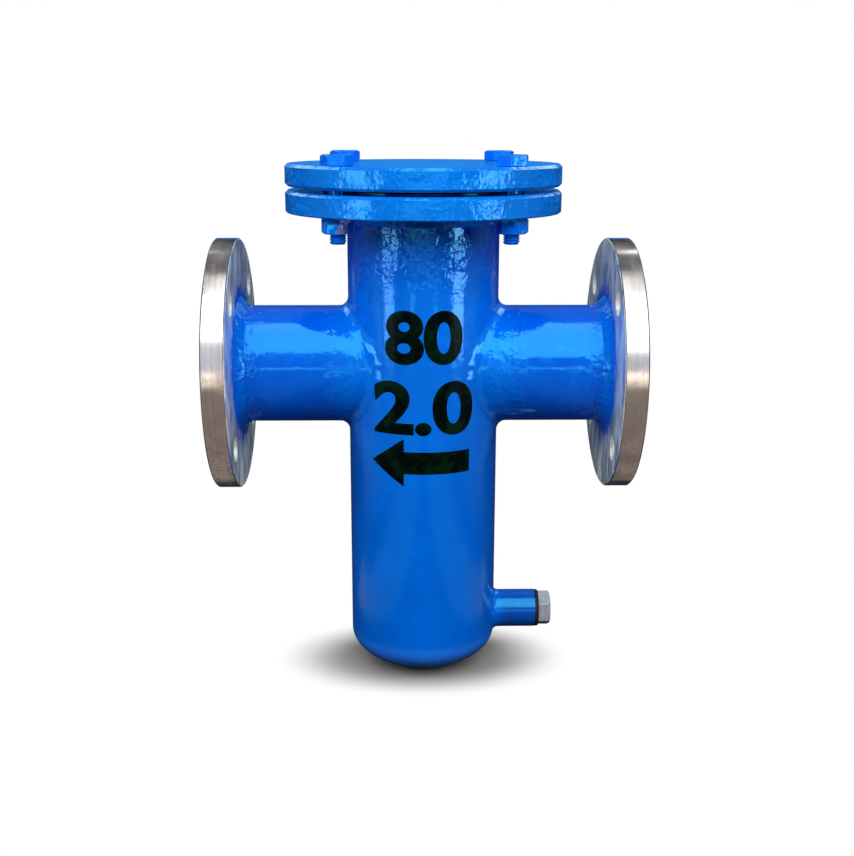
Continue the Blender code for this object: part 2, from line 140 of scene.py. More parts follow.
def add_node(tree, kind, inputs, **settings):
    """Add a shader node, each input with a plain value or a Pattern, and give what it puts out."""
    node = tree.nodes.new(kind)
    for name, value in settings.items():
        setattr(node, name, value)
    for key, value in inputs.items():
        if isinstance(value, Pattern):
            tree.links.new(value.socket, node.inputs[key])
        else:
            node.inputs[key].default_value = value
    return [Pattern(socket) for socket in node.outputs]


def sums(operation, *values):
    """A Math node's result."""
    tree = next(value.tree for value in values if isinstance(value, Pattern))
    return add_node(tree, 'ShaderNodeMath', dict(enumerate(values)), operation=operation)[0]


def axes(where):
    """A place's x, y and z."""
    return add_node(where.tree, 'ShaderNodeSeparateXYZ', {0: where})


def cloud(where, size, detail=3.0, roughness=0.55):
    """Noise whose lumps are about the given size across."""
    look = {"Vector": where, "Scale": 1.0 / size, "Detail": detail, "Roughness": roughness}
    return add_node(where.tree, 'ShaderNodeTexNoise', look)[0]


def finish_group(name, inputs, recipe):
    """A node group with named inputs, of which a recipe makes a colour, a roughness and a height."""
    group = bpy.data.node_groups.new(name, 'ShaderNodeTree')
    for socket, kind in inputs.items():
        group.interface.new_socket(socket, in_out='INPUT', socket_type='NodeSocket' + kind)
    for socket, kind in (("Color", "Color"), ("Roughness", "Float"), ("Height", "Float")):
        group.interface.new_socket(socket, in_out='OUTPUT', socket_type='NodeSocket' + kind)
    given = group.nodes.new('NodeGroupInput').outputs
    result = group.nodes.new('NodeGroupOutput').inputs
    for i, made in enumerate(recipe(*[Pattern(given[socket]) for socket in inputs])):
        group.links.new(made.socket, result[i])
    return group


def enamel_film(where, paint, thin_paint, peel, skin, roughness):
    """Sprayed enamel: orange peel, the rough skin of steel or weld under it, thin and thick spots."""
    ripple = cloud(where, 0.0060, 2.0)
    drift = cloud(where, 0.045, 4.0)
    lumps = cloud(where, 0.0052, 2.5, 0.50)
    pits = cloud(where, 0.0035, 2.0).ramp(0.30, 0.42)
    uneven = skin * cloud(where, 0.022, 3.0).ramp(0.36, 0.60, 0.3, 1.0)
    thin = lumps.ramp(0.54, 0.72) * drift.ramp(0.40, 0.70, 0.0, 0.6)
    film = thin.mix(paint, thin_paint).scaled(drift.ramp(0.30, 0.72, 0.92, 1.05))
    height = ripple * peel + uneven * (pits * 0.15 + lumps)
    return film, roughness + lumps.ramp(0.35, 0.75, 0.0, 0.08), height


enamel_group = finish_group("Enamel film", {
    "Vector": "Vector", "Paint": "Color", "Thin paint": "Color", "Peel": "Float", "Skin": "Float",
    "Roughness": "Float"}, enamel_film)


def principled(name):
    """A new material, its shader and its Object coordinates."""
    material = bpy.data.materials.new(name)
    material.use_nodes = True
    tree = material.node_tree
    where = Pattern(tree.nodes.new('ShaderNodeTexCoord').outputs["Object"])
    return material, tree.nodes["Principled BSDF"], where


def feed(shader, colour, roughness=None, height=None, metallic=None):
    """Link what changes over the surface to the shader."""
    tree = shader.id_data
    for pattern, socket in ((colour, "Base Color"), (roughness, "Roughness"), (metallic, "Metallic")):
        if pattern:
            tree.links.new(pattern.socket, shader.inputs[socket])
    if height:
        bump = add_node(tree, 'ShaderNodeBump', {"Strength": 1.0, "Distance": 1.0, "Height": height})
        tree.links.new(bump[0].socket, shader.inputs["Normal"])


def enamel_coat(shader, where, paint, skin, roughness):
    """The enamel's colour, roughness and height; its sheen is set on the shader itself."""
    shader.inputs["IOR"].default_value = PAINT_IOR
    shader.inputs["Specular Tint"].default_value = PAINT_SHEEN_TINT
    return add_node(where.tree, 'ShaderNodeGroup', {
        "Vector": where, "Paint": paint, "Thin paint": PAINT_THIN, "Peel": ORANGE_PEEL, "Skin": skin,
        "Roughness": roughness}, node_tree=enamel_group)


def enamel(name, skin, roughness, zones=None, paint=None):
    """Blue enamel on a rough skin, in metres of relief; zones and paint are recipes for a place."""
    material, shader, where = principled(name)
    if zones:
        skin = zones(where) * skin
    feed(shader, *enamel_coat(shader, where, paint(where) if paint else PAINT, skin, roughness))
    return material


def rough_pipe_zones(where):
    """1 where welding and hand spraying left the pipes uneven: at the top, by the welds, on the head."""
    x, y, z = axes(where)
    near_barrel = abs(z).ramp(*BY_NOZZLE_LEVEL) * abs(abs(x) - SADDLE_X).ramp(*BY_SADDLE, 0.0, 0.5)
    ends = z.ramp(*ROUGH_TOP, 0.0, 0.7).most(z.ramp(*ROUGH_HEAD, 0.0, 0.5))
    return ends.most(abs(x).ramp(*ROUGH_NEAR_FLANGE).most(near_barrel)).most(0.05)


def pipe_paint_and_shade(where):
    """The pipes' blue, darker under the flange and on the nozzles as painted shade, lighter where the head
    turns in as painted light.
    """
    x, y, z = axes(where)
    # Painted shade: a darker blue under the body flange and on the nozzles.
    shade_share = z.ramp(*SHADE_UNDER_FLANGE).most(abs(x).ramp(*SHADE_ON_NOZZLES, 0.0, 0.55))
    # Painted light: a lighter blue where the head turns in.
    return z.ramp(*LIT_HEAD_BAND).mix(shade_share.mix(PAINT, PAINT_SHADED), PAINT_LIT_HEAD)


def bare_inside():
    """Unpainted pipe inside: dark mill scale with a bloom of light rust."""
    material, shader, where = principled("bare_pipe_inside")
    rust = cloud(where, 0.020, 6.0, 0.65).ramp(0.45, 0.68)
    scale = cloud(where, 0.006, 4.0).mix(MILL_SCALE_DARK, MILL_SCALE)
    feed(shader, rust.mix(scale, RUST), rust.ramp(0.0, 1.0, 0.45, 0.85), rust * 0.0002,
         rust.ramp(0.0, 1.0, 0.8, 0.1))
    return material


pipe_enamel = enamel("pipe_enamel", PIPE_SKIN, 0.08, rough_pipe_zones, pipe_paint_and_shade)
inner_steel = bare_inside()


def only(obj):
    """Make one object the only selected one, and the active one."""
    bpy.ops.object.select_all(action='DESELECT')
    obj.select_set(True)
    bpy.context.view_layer.objects.active = obj


def new_piece(name, add, **settings):
    """Add a primitive with nothing else selected, and name it."""
    bpy.ops.object.select_all(action='DESELECT')
    add(**settings)
    obj = bpy.context.object
    obj.name = obj.data.name = name
    return obj


def close_mesh(obj):
    """Merge an object's doubled points and turn its faces outwards."""
    only(obj)
    bpy.ops.object.mode_set(mode='EDIT')
    bpy.ops.mesh.select_all(action='SELECT')
    bpy.ops.mesh.remove_doubles(threshold=DOUBLES)
    bpy.ops.mesh.normals_make_consistent(inside=False)
    bpy.ops.object.mode_set(mode='OBJECT')


def spin_outline(name, outline, steps=PIPE_STEPS):
    """Draw an outline of (radius, height) and spin it about Z; one that is off the axis closes to a ring."""
    obj = new_piece(name, bpy.ops.mesh.primitive_plane_add, size=0.001)
    bpy.ops.object.mode_set(mode='EDIT')
    bpy.ops.mesh.merge(type='CENTER')
    bpy.ops.transform.translate(value=(outline[0][0], 0.0, outline[0][1]))
    ring = outline[0][0] > 0.0 or outline[-1][0] > 0.0
    path = outline + outline[:1] if ring else outline
    for (r0, z0), (r1, z1) in zip(path, path[1:]):
        bpy.ops.mesh.extrude_vertices_move(TRANSFORM_OT_translate={"value": (r1 - r0, 0.0, z1 - z0)})
    bpy.ops.mesh.select_all(action='SELECT')
    bpy.ops.mesh.remove_doubles(threshold=DOUBLES)
    bpy.ops.mesh.spin(steps=steps, angle=2 * math.pi, center=(0.0, 0.0, 0.0), axis=(0.0, 0.0, 1.0))
    bpy.ops.object.mode_set(mode='OBJECT')
    close_mesh(obj)
    return obj


def apply_modifiers(obj):
    """Apply all modifiers of an object."""
    only(obj)
    for modifier in list(obj.modifiers):
        bpy.ops.object.modifier_apply(modifier=modifier.name)


def combine(obj, other, operation):
    """Join, cut or intersect a piece with a blank that is then thrown away."""
    merge = obj.modifiers.new("Merge", 'BOOLEAN')
    merge.operation, merge.solver, merge.object = operation, 'EXACT', other
    apply_modifiers(obj)
    bpy.data.objects.remove(other, do_unlink=True)


def drill(obj, middle, radius, length, turn=(0.0, 0.0, 0.0), steps=48):
    """Cut a round hole."""
    tool = new_piece("drill", bpy.ops.mesh.primitive_cylinder_add, vertices=steps, radius=radius,
                     depth=length, location=middle, rotation=turn)
    combine(obj, tool, 'DIFFERENCE')


def place_in_mesh(obj, location=None, turn=None):
    """Move and turn an object, where that is asked, and put its place into its mesh."""
    obj.location = location or obj.location
    obj.rotation_euler = turn or obj.rotation_euler
    only(obj)
    bpy.ops.object.transform_apply(location=True, rotation=True, scale=True)


def finish_edges(obj, width=0.0004, angle=34.0):
    """Round the sharp edges a little and shade the faces smooth between them."""
    if width:
        bevel = obj.modifiers.new("Edges", 'BEVEL')
        bevel.width, bevel.segments, bevel.limit_method = width, 2, 'ANGLE'
        bevel.angle_limit = math.radians(angle)
        bevel.use_clamp_overlap = True
        apply_modifiers(obj)
    only(obj)
    bpy.ops.object.shade_smooth_by_angle(angle=math.radians(angle))
    weigh = obj.modifiers.new("Weighted normals", 'WEIGHTED_NORMAL')
    weigh.keep_sharp = True
    apply_modifiers(obj)


def dress(obj, material, inner=None, test=None):
    """Give a piece its material, and the faces whose middle passes the test a second one."""
    obj.data.materials.clear()
    obj.data.materials.append(material)
    if inner:
        obj.data.materials.append(inner)
        for face in obj.data.polygons:
            if test(face.center):
                face.material_index = 1


def inside_pipe(middle):
    """True on an upright pipe's inner wall."""
    return middle.xy.length < barrel_radius - BARREL_WALL / 2


barrel_pipe = spin_outline("barrel_pipe", [
    (barrel_radius, barrel_high.z), (barrel_radius, seam_z), (barrel_inside, seam_z),
    (barrel_inside, barrel_high.z)])
drill(barrel_pipe, (0.0, 0.0, 0.0), nozzle_bore, barrel_radius * 3, ALONG_X, PIPE_STEPS)
finish_edges(barrel_pipe, 0.0)
dress(barrel_pipe, pipe_enamel, inner_steel, inside_pipe)
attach(barrel_pipe, "body")
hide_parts("barrel")


# Bottom cap: a pressed elliptical pipe cap, butt-welded to the barrel with the seam ground flush and
# painted over, so that it doesn't show. The drain's hole is cut through its skirt.
HEAD_RATIO = 2.0
HEAD_STEPS = 28
DRAIN_RADIUS = 0.0150
DRAIN_WALL = 0.0030

cap_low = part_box("bottom_cap")[0].z
head_depth = barrel_radius / HEAD_RATIO
tangent_z = cap_low + head_depth
seal_low, seal_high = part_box("drain_seal")
drain_z = (seal_low.z + seal_high.z) / 2
drain_bore = DRAIN_RADIUS - DRAIN_WALL


def head_outline(radius, depth):
    """Points of an elliptical head, from its tangent line to the axis."""
    turns = [math.pi / 2 * i / HEAD_STEPS for i in range(HEAD_STEPS)]
    points = [(radius * math.cos(a), tangent_z - depth * math.sin(a)) for a in turns]
    return points + [(0.0, tangent_z - depth)]


cap_outside = [(barrel_radius, seam_z)] + head_outline(barrel_radius, head_depth)
cap_inside = [(barrel_inside, seam_z)] + head_outline(barrel_inside, head_depth - BARREL_WALL)
bottom_head = spin_outline("bottom_head", list(reversed(cap_inside)) + cap_outside)
drill(bottom_head, (barrel_radius, 0.0, drain_z), drain_bore, barrel_radius, ALONG_X)
finish_edges(bottom_head, 0.0)


def inside_head(middle):
    """True on the head's inner wall."""
    drop = max(tangent_z - middle.z, 0.0) * HEAD_RATIO
    return Vector((middle.x, middle.y, drop)).length < barrel_radius - BARREL_WALL / 2


dress(bottom_head, pipe_enamel, inner_steel, inside_head)
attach(bottom_head, "body")
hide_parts("bottom_cap")


# Nozzles and drain stub: short pipes saddled onto the barrel and welded all round. Weld and thick
# enamel together make the smooth fillet. The stub, low on the inlet's side, holds the drain plug.
NOZZLE_FILLET = 0.0080
DRAIN_FILLET = 0.0045
DRAIN_STEPS = 96
FILLET_STEPS = 9
FOOT_SINK = 0.00006
FILLET_LUMPS = 0.0005
FILLET_LUMP_SIZE = 0.006
LUMP_START = 0.0004
LUMP_SHARE = 0.65
SLOPE_STEP = 0.0001
# The stub's darker blue below is painted shade, for where it sits low under the nozzle and the flanges.
STUB_PAINT_SHADED = (0.004, 0.075, 0.46, 1.0)

nozzle_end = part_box("inlet_nozzle")[1].x
drain_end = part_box("drain_boss")[1].x


def shell_reach(y, z):
    """How far the outside of the barrel or of its head lies from the YZ plane."""
    drop = max(tangent_z - z, 0.0) * HEAD_RATIO
    return math.sqrt(max(barrel_radius ** 2 - drop ** 2 - y ** 2, 0.0))


def branch_section(angle, outer, bore, fillet, end, axis_z):
    """One section of a branch as (x, y, z): outside, down the fillet, under the foot, back in the bore."""
    across, up = math.cos(angle), math.sin(angle)

    def reach(radius):
        return shell_reach(radius * across, axis_z + radius * up)

    slope = (reach(outer + SLOPE_STEP) - reach(outer)) / SLOPE_STEP
    foot = outer + fillet / math.sqrt(1.0 + slope * slope)
    corner = reach(outer)
    run = end - corner - fillet
    points = [(end - run * share, outer) for share in (0.0, 0.02, 0.5)]
    for i in range(FILLET_STEPS + 1):
        t = i / FILLET_STEPS
        x = (corner + fillet) * (1 - t) ** 2 + corner * 2 * t * (1 - t) + reach(foot) * t * t
        r = outer * (1 - t) ** 2 + outer * 2 * t * (1 - t) + foot * t * t
        points.append((x - (FOOT_SINK if i == FILLET_STEPS else 0.0), r))
    points += [(reach(bore) - FOOT_SINK, bore), (end, bore), (end, outer)]
    return [(x, radius * across, axis_z + radius * up) for x, radius in points]


def roughen(obj, amount, size, test):
    """Push the points that pass the test along their normals by smooth noise, as hand welding does."""
    normals = [v.normal.copy() for v in obj.data.vertices]
    for vertex, normal in zip(obj.data.vertices, normals):
        if test(vertex.co):
            vertex.co += normal * amount * noise.noise(vertex.co / size)


def pull_branch(name, side, outer, bore, fillet, end, axis_z, steps):
    """Extrude a circle ring by ring, and set each ring onto its place on the branch."""
    turns = [2 * math.pi * i / steps for i in range(steps)]
    sections = [branch_section(a, outer, bore, fillet, end, axis_z) for a in turns]
    obj = new_piece(name, bpy.ops.mesh.primitive_circle_add, vertices=steps, radius=outer,
                    location=(end, 0.0, axis_z), rotation=(math.pi / 2, 0.0, math.pi / 2))
    place_in_mesh(obj)
    bpy.ops.object.mode_set(mode='EDIT')
    for ring in range(len(sections[0])):
        if ring:
            bpy.ops.mesh.extrude_region_move()
        mesh = bmesh.from_edit_mesh(obj.data)
        for vertex in (v for v in mesh.verts if v.select):
            angle = math.atan2(vertex.co.z - axis_z, vertex.co.y)
            vertex.co = sections[round(angle * steps / (2 * math.pi)) % steps][ring]
        bmesh.update_edit_mesh(obj.data)
    bpy.ops.mesh.select_all(action='SELECT')
    bpy.ops.mesh.remove_doubles(threshold=DOUBLES)
    bpy.ops.object.mode_set(mode='OBJECT')
    start, foot = outer + LUMP_START, outer + fillet * LUMP_SHARE
    roughen(obj, FILLET_LUMPS, FILLET_LUMP_SIZE, lambda co: start < math.hypot(co.y, co.z - axis_z) < foot)
    if side < 0:
        obj.data.transform(Matrix.Scale(-1.0, 4, (1.0, 0.0, 0.0)))
    close_mesh(obj)
    return obj


nozzle_pipes = []
for side, word in ((1, "inlet"), (-1, "outlet")):
    pipe = pull_branch(f"{word}_pipe", side, NOZZLE_RADIUS, nozzle_bore, NOZZLE_FILLET, nozzle_end, 0.0,
                       PIPE_STEPS)
    nozzle_pipes.append(pipe)
    finish_edges(pipe, 0.0)
    dress(pipe, pipe_enamel, inner_steel, lambda middle: middle.yz.length < nozzle_bore + NOZZLE_WALL / 2)
    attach(pipe, "body")
    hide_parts(f"{word}_nozzle")


def stub_paint_and_shade(where):
    """The stub's blue: the barrel's at the fillet, and darker beyond it as painted shade."""
    return axes(where)[0].ramp(barrel_radius - 0.002, barrel_radius + 0.012).mix(PAINT, STUB_PAINT_SHADED)


stub_enamel = enamel("stub_enamel", PIPE_SKIN, 0.14, rough_pipe_zones, stub_paint_and_shade)
drain_stub = pull_branch("drain_stub", 1, DRAIN_RADIUS, drain_bore, DRAIN_FILLET, drain_end, drain_z,
                         DRAIN_STEPS)
finish_edges(drain_stub, 0.0)
dress(drain_stub, stub_enamel, inner_steel,
      lambda middle: math.hypot(middle.y, middle.z - drain_z) < drain_bore + DRAIN_WALL / 2)
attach(drain_stub, "body")
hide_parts("drain_boss")


# Body flange: a plate ring flame-cut and turned, slipped over the barrel's top. Its rim keeps the rough
# skin of the plate under the enamel. The cover is a blind plate of the same size.
PLATE_STEPS = 256
RAISED_RADIUS = 0.07465
RAISED = 0.0005
BOLT_HOLE_RADIUS = 0.0070
RIM_CHAMFER = 0.0020
RIM_CHAMFER_LOW = 0.0010
# The plates' blue below is a lighter copy of the pipes' blue: painted light on the cover and the body flange.
PLATE_PAINT_LIT = (0.0, 0.180, 0.80, 1.0)
BOLT_CORNERS = ("front_left", "front_right", "rear_right", "rear_left")

flange_low, flange_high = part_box("body_flange")
plate_radius = flange_high.x
flange_face = flange_high.z - RAISED
bolt_places = {}
for corner in BOLT_CORNERS:
    low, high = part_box(f"cover_bolt_{corner}")
    bolt_places[corner] = Vector(((low.x + high.x) / 2, (low.y + high.y) / 2, 0.0))


def distance(where, weights):
    """How far a place lies from the origin, with each axis weighted."""
    weighted = add_node(where.tree, 'ShaderNodeVectorMath', {0: where, 1: weights}, operation='MULTIPLY')[0]
    return add_node(where.tree, 'ShaderNodeVectorMath', {0: weighted}, operation='LENGTH')[1]


def rough_plate_zones(where):
    """1 on the flame-cut rims, and less on the rolled faces."""
    return distance(where, (1.0, 1.0, 0.0)).ramp(plate_radius - 0.006, plate_radius - 0.001, 0.22, 1.0)


plate_enamel = enamel("plate_enamel", 0.0011, 0.15, rough_plate_zones, lambda where: PLATE_PAINT_LIT)


def drill_bolt_holes(plate, low, high):
    """Drill the four bolt holes through a plate."""
    for place in bolt_places.values():
        drill(plate, (place.x, place.y, (low + high) / 2), BOLT_HOLE_RADIUS, (high - low) * 2)


flange_ring = spin_outline("flange_ring", [
    (RAISED_RADIUS, flange_high.z), (RAISED_RADIUS, flange_face), (plate_radius - RIM_CHAMFER, flange_face),
    (plate_radius, flange_face - RIM_CHAMFER), (plate_radius, flange_low.z + RIM_CHAMFER_LOW),
    (plate_radius - RIM_CHAMFER_LOW, flange_low.z), (barrel_radius, flange_low.z),
    (barrel_radius, flange_high.z)], PLATE_STEPS)
drill_bolt_holes(flange_ring, flange_low.z, flange_high.z)
finish_edges(flange_ring, 0.0004)
dress(flange_ring, plate_enamel)
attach(flange_ring, "body")
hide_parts("body_flange")

cover_low, cover_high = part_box("cover")
cover_rim_low = cover_low.z + RAISED
cover_plate = spin_outline("cover_plate", [
    (0.0, cover_high.z), (plate_radius - RIM_CHAMFER, cover_high.z),
    (plate_radius, cover_high.z - RIM_CHAMFER), (plate_radius, cover_rim_low + RIM_CHAMFER),
    (plate_radius - RIM_CHAMFER, cover_rim_low), (RAISED_RADIUS, cover_rim_low),
    (RAISED_RADIUS, cover_low.z), (0.0, cover_low.z)], PLATE_STEPS)
drill_bolt_holes(cover_plate, cover_low.z, cover_high.z)
finish_edges(cover_plate, 0.0004)
dress(cover_plate, plate_enamel)
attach(cover_plate, "cover")
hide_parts("cover")


# Welds: one arc-welded bead under the body flange and one behind each side flange. They are laid by
# hand in short overlapping ripples and painted over.
WELD_STEPS = 640
WELD_PROFILE = 7
WELD_HOLLOW = 0.36
BODY_WELD = 0.0080
SIDE_WELD = 0.0070
RIPPLE_LENGTH = 0.0042
RIPPLE = 0.00012
WANDER_SIZE = 0.03
BEAD_LUMP_SIZE = 0.007

bead_enamel = enamel("bead_enamel", 0.0014, 0.11)


def weld_bead(name, pipe_radius, leg, seed):
    """A ring with a slightly hollow face in the corner of a pipe and the plate above it, at height 0."""
    outline = [(pipe_radius, 0.0)]
    hollow = leg * WELD_HOLLOW
    for i in range(WELD_PROFILE + 1):
        t = i / WELD_PROFILE
        near, bend, far = (1 - t) ** 2, 2 * t * (1 - t), t * t
        outline.append(((pipe_radius + leg) * near + (pipe_radius + hollow) * bend + pipe_radius * far,
                        -hollow * bend - leg * far))
    bead = spin_outline(name, outline, WELD_STEPS)
    ripples = round(2 * math.pi * pipe_radius / RIPPLE_LENGTH)
    for vertex in bead.data.vertices:
        co = vertex.co
        radius, angle = math.hypot(co.x, co.y), math.atan2(co.y, co.x)
        face = min(1.0, 16.0 * abs(radius - pipe_radius) * abs(co.z) / leg ** 2)
        wander = noise.noise(Vector((co.x, co.y, seed)) / WANDER_SIZE)
        wave = abs(math.sin(ripples * angle / 2 + 2.0 * wander + co.z / leg * 1.5))
        lump = noise.noise(Vector((co.x, co.y, co.z + seed)) / BEAD_LUMP_SIZE)
        push = face * RIPPLE * (wave + 1.2 * lump) * 0.7
        grown = radius + push
        vertex.co = (grown * math.cos(angle), grown * math.sin(angle), co.z - push)
    return bead


def finish_bead(bead):
    """Shade a bead, paint it and fix it to the body."""
    finish_edges(bead, 0.0, 60.0)
    dress(bead, bead_enamel)
    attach(bead, "body")


flange_bead = weld_bead("flange_bead", barrel_radius, BODY_WELD, 1.0)
place_in_mesh(flange_bead, (0.0, 0.0, flange_low.z))
finish_bead(flange_bead)
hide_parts("body_flange_weld")

side_flange_low, side_flange_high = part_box("inlet_flange")
for side, word in ((1, "inlet"), (-1, "outlet")):
    bead = weld_bead(f"{word}_bead", NOZZLE_RADIUS, SIDE_WELD, 2.0 + side)
    place_in_mesh(bead, (side * side_flange_low.x, 0.0, 0.0), (0.0, side * math.pi / 2, 0.0))
    finish_bead(bead)
    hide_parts(f"{word}_flange_weld")


# Side flanges: turned steel rings slipped over the nozzles, left bare apart from the overspray round
# their welds. Four stud holes, and a raised sealing face.
STEEL = (0.62, 0.605, 0.59, 1.0)
STEEL_DULL = (0.52, 0.51, 0.50, 1.0)
STAIN = (0.20, 0.135, 0.085, 1.0)
# The pale dry spray below is real on the inner faces, and painted light on the walls of the bolt holes.
DRY_MIST_AND_HOLE_LIGHT = (0.88, 1.0, 0.90, 1.0)
SIDE_RAISED_RADIUS = 0.0635
SIDE_RAISED = 0.0016
STUD_CIRCLE_RADIUS = 0.0762
STUD_HOLE_RADIUS = 0.0095
STUD_HOLES = 4
STUD_DRILL_MIDDLE = -0.01
STUD_DRILL_LENGTH = 0.04
SIDE_CHAMFER = 0.0010
OVERSPRAY_RADIUS = 0.059
OVERSPRAY_WANDER = 0.034
OVERSPRAY_ROUGHNESS = (0.20, 0.20, 0.20, 1.0)
HOLE_EDGE_RADIUS = 0.089


def metal_skin(where, along, metal, dull, stain, staining, roughness, grain):
    """Bare metal: fine scratches, duller patches and brown stains."""
    patches = cloud(where, 0.016, 5.0, 0.6).ramp(0.40, 0.66)
    scratches = cloud(along, 0.0009, 3.0, 0.7)
    spots = cloud(where, 0.0045, 5.0, 0.7).ramp(0.54, 0.68)
    stained = spots.most(patches * 0.5) * staining
    colour = stained.mix(scratches.ramp(0.35, 0.65).mix(dull, metal), stain)
    return colour, roughness + (patches * 0.10 + stained * 0.25), scratches * grain


metal_group = finish_group("Metal skin", {
    "Vector": "Vector", "Grain vector": "Vector", "Metal": "Color", "Dull": "Color", "Stain": "Color",
    "Staining": "Float", "Roughness": "Float", "Grain": "Float"}, metal_skin)


def bare_metal(where, along, metal, dull, stain, staining, roughness, grain):
    """The metal skin's colour, roughness and height; its scratches follow the second coordinates."""
    return add_node(where.tree, 'ShaderNodeGroup', {
        "Vector": where, "Grain vector": along, "Metal": metal, "Dull": dull, "Stain": stain,
        "Staining": staining, "Roughness": roughness, "Grain": grain}, node_tree=metal_group)


def stretched(where, scale):
    """Coordinates squeezed along an axis, which draws a pattern out along it."""
    squeeze = {"Vector": where, "Scale": scale}
    return add_node(where.tree, 'ShaderNodeMapping', squeeze, vector_type='POINT')[0]


def turned_steel():
    """Steel turned about X: lathe marks, blue overspray at the weld, dry overspray round it, the same pale
    spray in the bolt holes as painted light on their walls, satin outside.
    """
    material, shader, where = principled("turned_steel")
    x, y, z = axes(where)
    out = abs(x)
    radius = distance(where, (0.0, 1.0, 1.0))
    lathe = add_node(where.tree, 'ShaderNodeCombineXYZ', {0: x, 1: radius, 2: 0.0})[0]
    colour, roughness, height = bare_metal(
        where, lathe, STEEL, STEEL_DULL, STAIN, z.ramp(0.03, -0.07, 0.05, 0.70), 0.16, 0.000008)
    back, face, rim = side_flange_low.x, side_flange_high.x, side_flange_high.z
    inner_face = out.ramp(back + 0.0003, back + 0.0006, 1.0, 0.0)
    edge = radius + (cloud(where, 0.012, 5.0, 0.65) - 0.5) * OVERSPRAY_WANDER
    spray = edge.ramp(OVERSPRAY_RADIUS + 0.010, OVERSPRAY_RADIUS - 0.008) * inner_face
    haze = edge.ramp(OVERSPRAY_RADIUS + 0.026, OVERSPRAY_RADIUS, 0.0, 0.25) * inner_face
    blue = spray.most(haze)
    # Painted light: pale dry spray on the bolt holes' walls, for the light that falls into them.
    hole_walls_lit = radius.ramp(HOLE_EDGE_RADIUS + 0.001, HOLE_EDGE_RADIUS) * out.ramp(face - 0.003, face - 0.004)
    streaks = cloud(stretched(where, (1.0, 1.0, 0.30)), 0.009, 5.0, 0.65).ramp(0.40, 0.60, 0.45, 1.0)
    mist_and_hole_light = streaks * inner_face.most(hole_walls_lit)
    outer_face = radius.ramp(rim - 0.0011, rim - 0.0016) * out.ramp(face - 0.0040, face - 0.0030)
    dulled = (mist_and_hole_light * 0.7).most(outer_face * 0.35)
    satin = outer_face * 0.14 + roughness
    feed(shader, blue.mix(mist_and_hole_light.mix(colour, DRY_MIST_AND_HOLE_LIGHT), PAINT),
         blue.mix(mist_and_hole_light * 0.30 + satin, OVERSPRAY_ROUGHNESS), height, (1.0 - blue) * (1.0 - dulled))
    return material


flange_steel = turned_steel()
side_radius = side_flange_high.z
side_back = side_flange_low.x - side_flange_high.x
for side, word in ((1, "inlet"), (-1, "outlet")):
    disc = spin_outline(f"{word}_disc", [
        (SIDE_RAISED_RADIUS, 0.0), (SIDE_RAISED_RADIUS, -SIDE_RAISED),
        (side_radius - SIDE_CHAMFER, -SIDE_RAISED), (side_radius, -SIDE_RAISED - SIDE_CHAMFER),
        (side_radius, side_back + SIDE_CHAMFER), (side_radius - SIDE_CHAMFER, side_back),
        (NOZZLE_RADIUS, side_back), (NOZZLE_RADIUS, 0.0)], PLATE_STEPS)
    for i in range(STUD_HOLES):
        angle = math.radians(45.0) + 2 * math.pi * i / STUD_HOLES
        middle = (STUD_CIRCLE_RADIUS * math.cos(angle), STUD_CIRCLE_RADIUS * math.sin(angle),
                  STUD_DRILL_MIDDLE)
        drill(disc, middle, STUD_HOLE_RADIUS, STUD_DRILL_LENGTH)
    place_in_mesh(disc, (side * side_flange_high.x, 0.0, 0.0), (0.0, side * math.pi / 2, 0.0))
    finish_edges(disc, 0.0003)
    dress(disc, flange_steel)
    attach(disc, "body")
    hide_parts(f"{word}_flange")


# Cover bolts and nuts: hexagon bolts of zinc-plated steel through both plates, threaded at their lower
# end, with the nuts underneath. They were sprayed with the body, so some of the nuts' flats stay bare.
HEX_FLATS = 0.0205
HEX_CROWN = 0.96
HEX_CHAMFER = math.radians(30.0)
HEX_STEPS = 72
HEX_EDGE = 0.0002
BOLT_RADIUS = 0.0060
BOLT_TIP = 0.0012
THREAD_PITCH = 0.00175
THREAD_DEPTH = 0.0010
THREAD_FLAT = 0.12
THREAD_LENGTH = 0.0300
THREAD_ROWS = 8
WASHER_FACE = 0.0098
WASHER_SINK = 0.0010
SEAT_GAP = 0.0003
ZINC = (0.58, 0.68, 0.75, 1.0)
ZINC_DULL = (0.40, 0.44, 0.48, 1.0)
NUT_DIRT = (0.10, 0.11, 0.13, 1.0)
PLUG_DIRT = (0.16, 0.18, 0.21, 1.0)
HEAD_TURNS = {"front_left": 29.0, "front_right": 49.0, "rear_right": 35.0, "rear_left": 33.0}
NUT_TURNS = {"front_left": 20.0, "front_right": 20.0, "rear_right": 5.0, "rear_left": 50.0}


def threaded_rod(name, radius, top, bottom, thread_top, steps=48):
    """A round rod along Z with a screw thread below the given height."""
    rows = int((thread_top - bottom) / THREAD_PITCH * THREAD_ROWS)
    heights = [thread_top + (bottom + BOLT_TIP - thread_top) * i / rows for i in range(rows + 1)]
    outline = [(0.0, top), (radius, top)] + [(radius, z) for z in heights]
    rod = spin_outline(name, outline + [(radius - BOLT_TIP, bottom), (0.0, bottom)], steps)
    for vertex in rod.data.vertices:
        co = vertex.co
        if co.xy.length > radius * 0.9 and co.z < thread_top - 0.0001:
            turn = co.z / THREAD_PITCH - math.atan2(co.y, co.x) / (2 * math.pi)
            tooth = 1.0 - abs(2.0 * (turn % 1.0) - 1.0)
            fade = min(1.0, (thread_top - co.z) / (2 * THREAD_PITCH))
            flank = (1.0 - THREAD_FLAT - tooth) / (1.0 - 2 * THREAD_FLAT)
            scale = 1.0 - THREAD_DEPTH * fade * min(max(flank, 0.0), 1.0) / radius
            co.x, co.y = co.x * scale, co.y * scale
    return rod


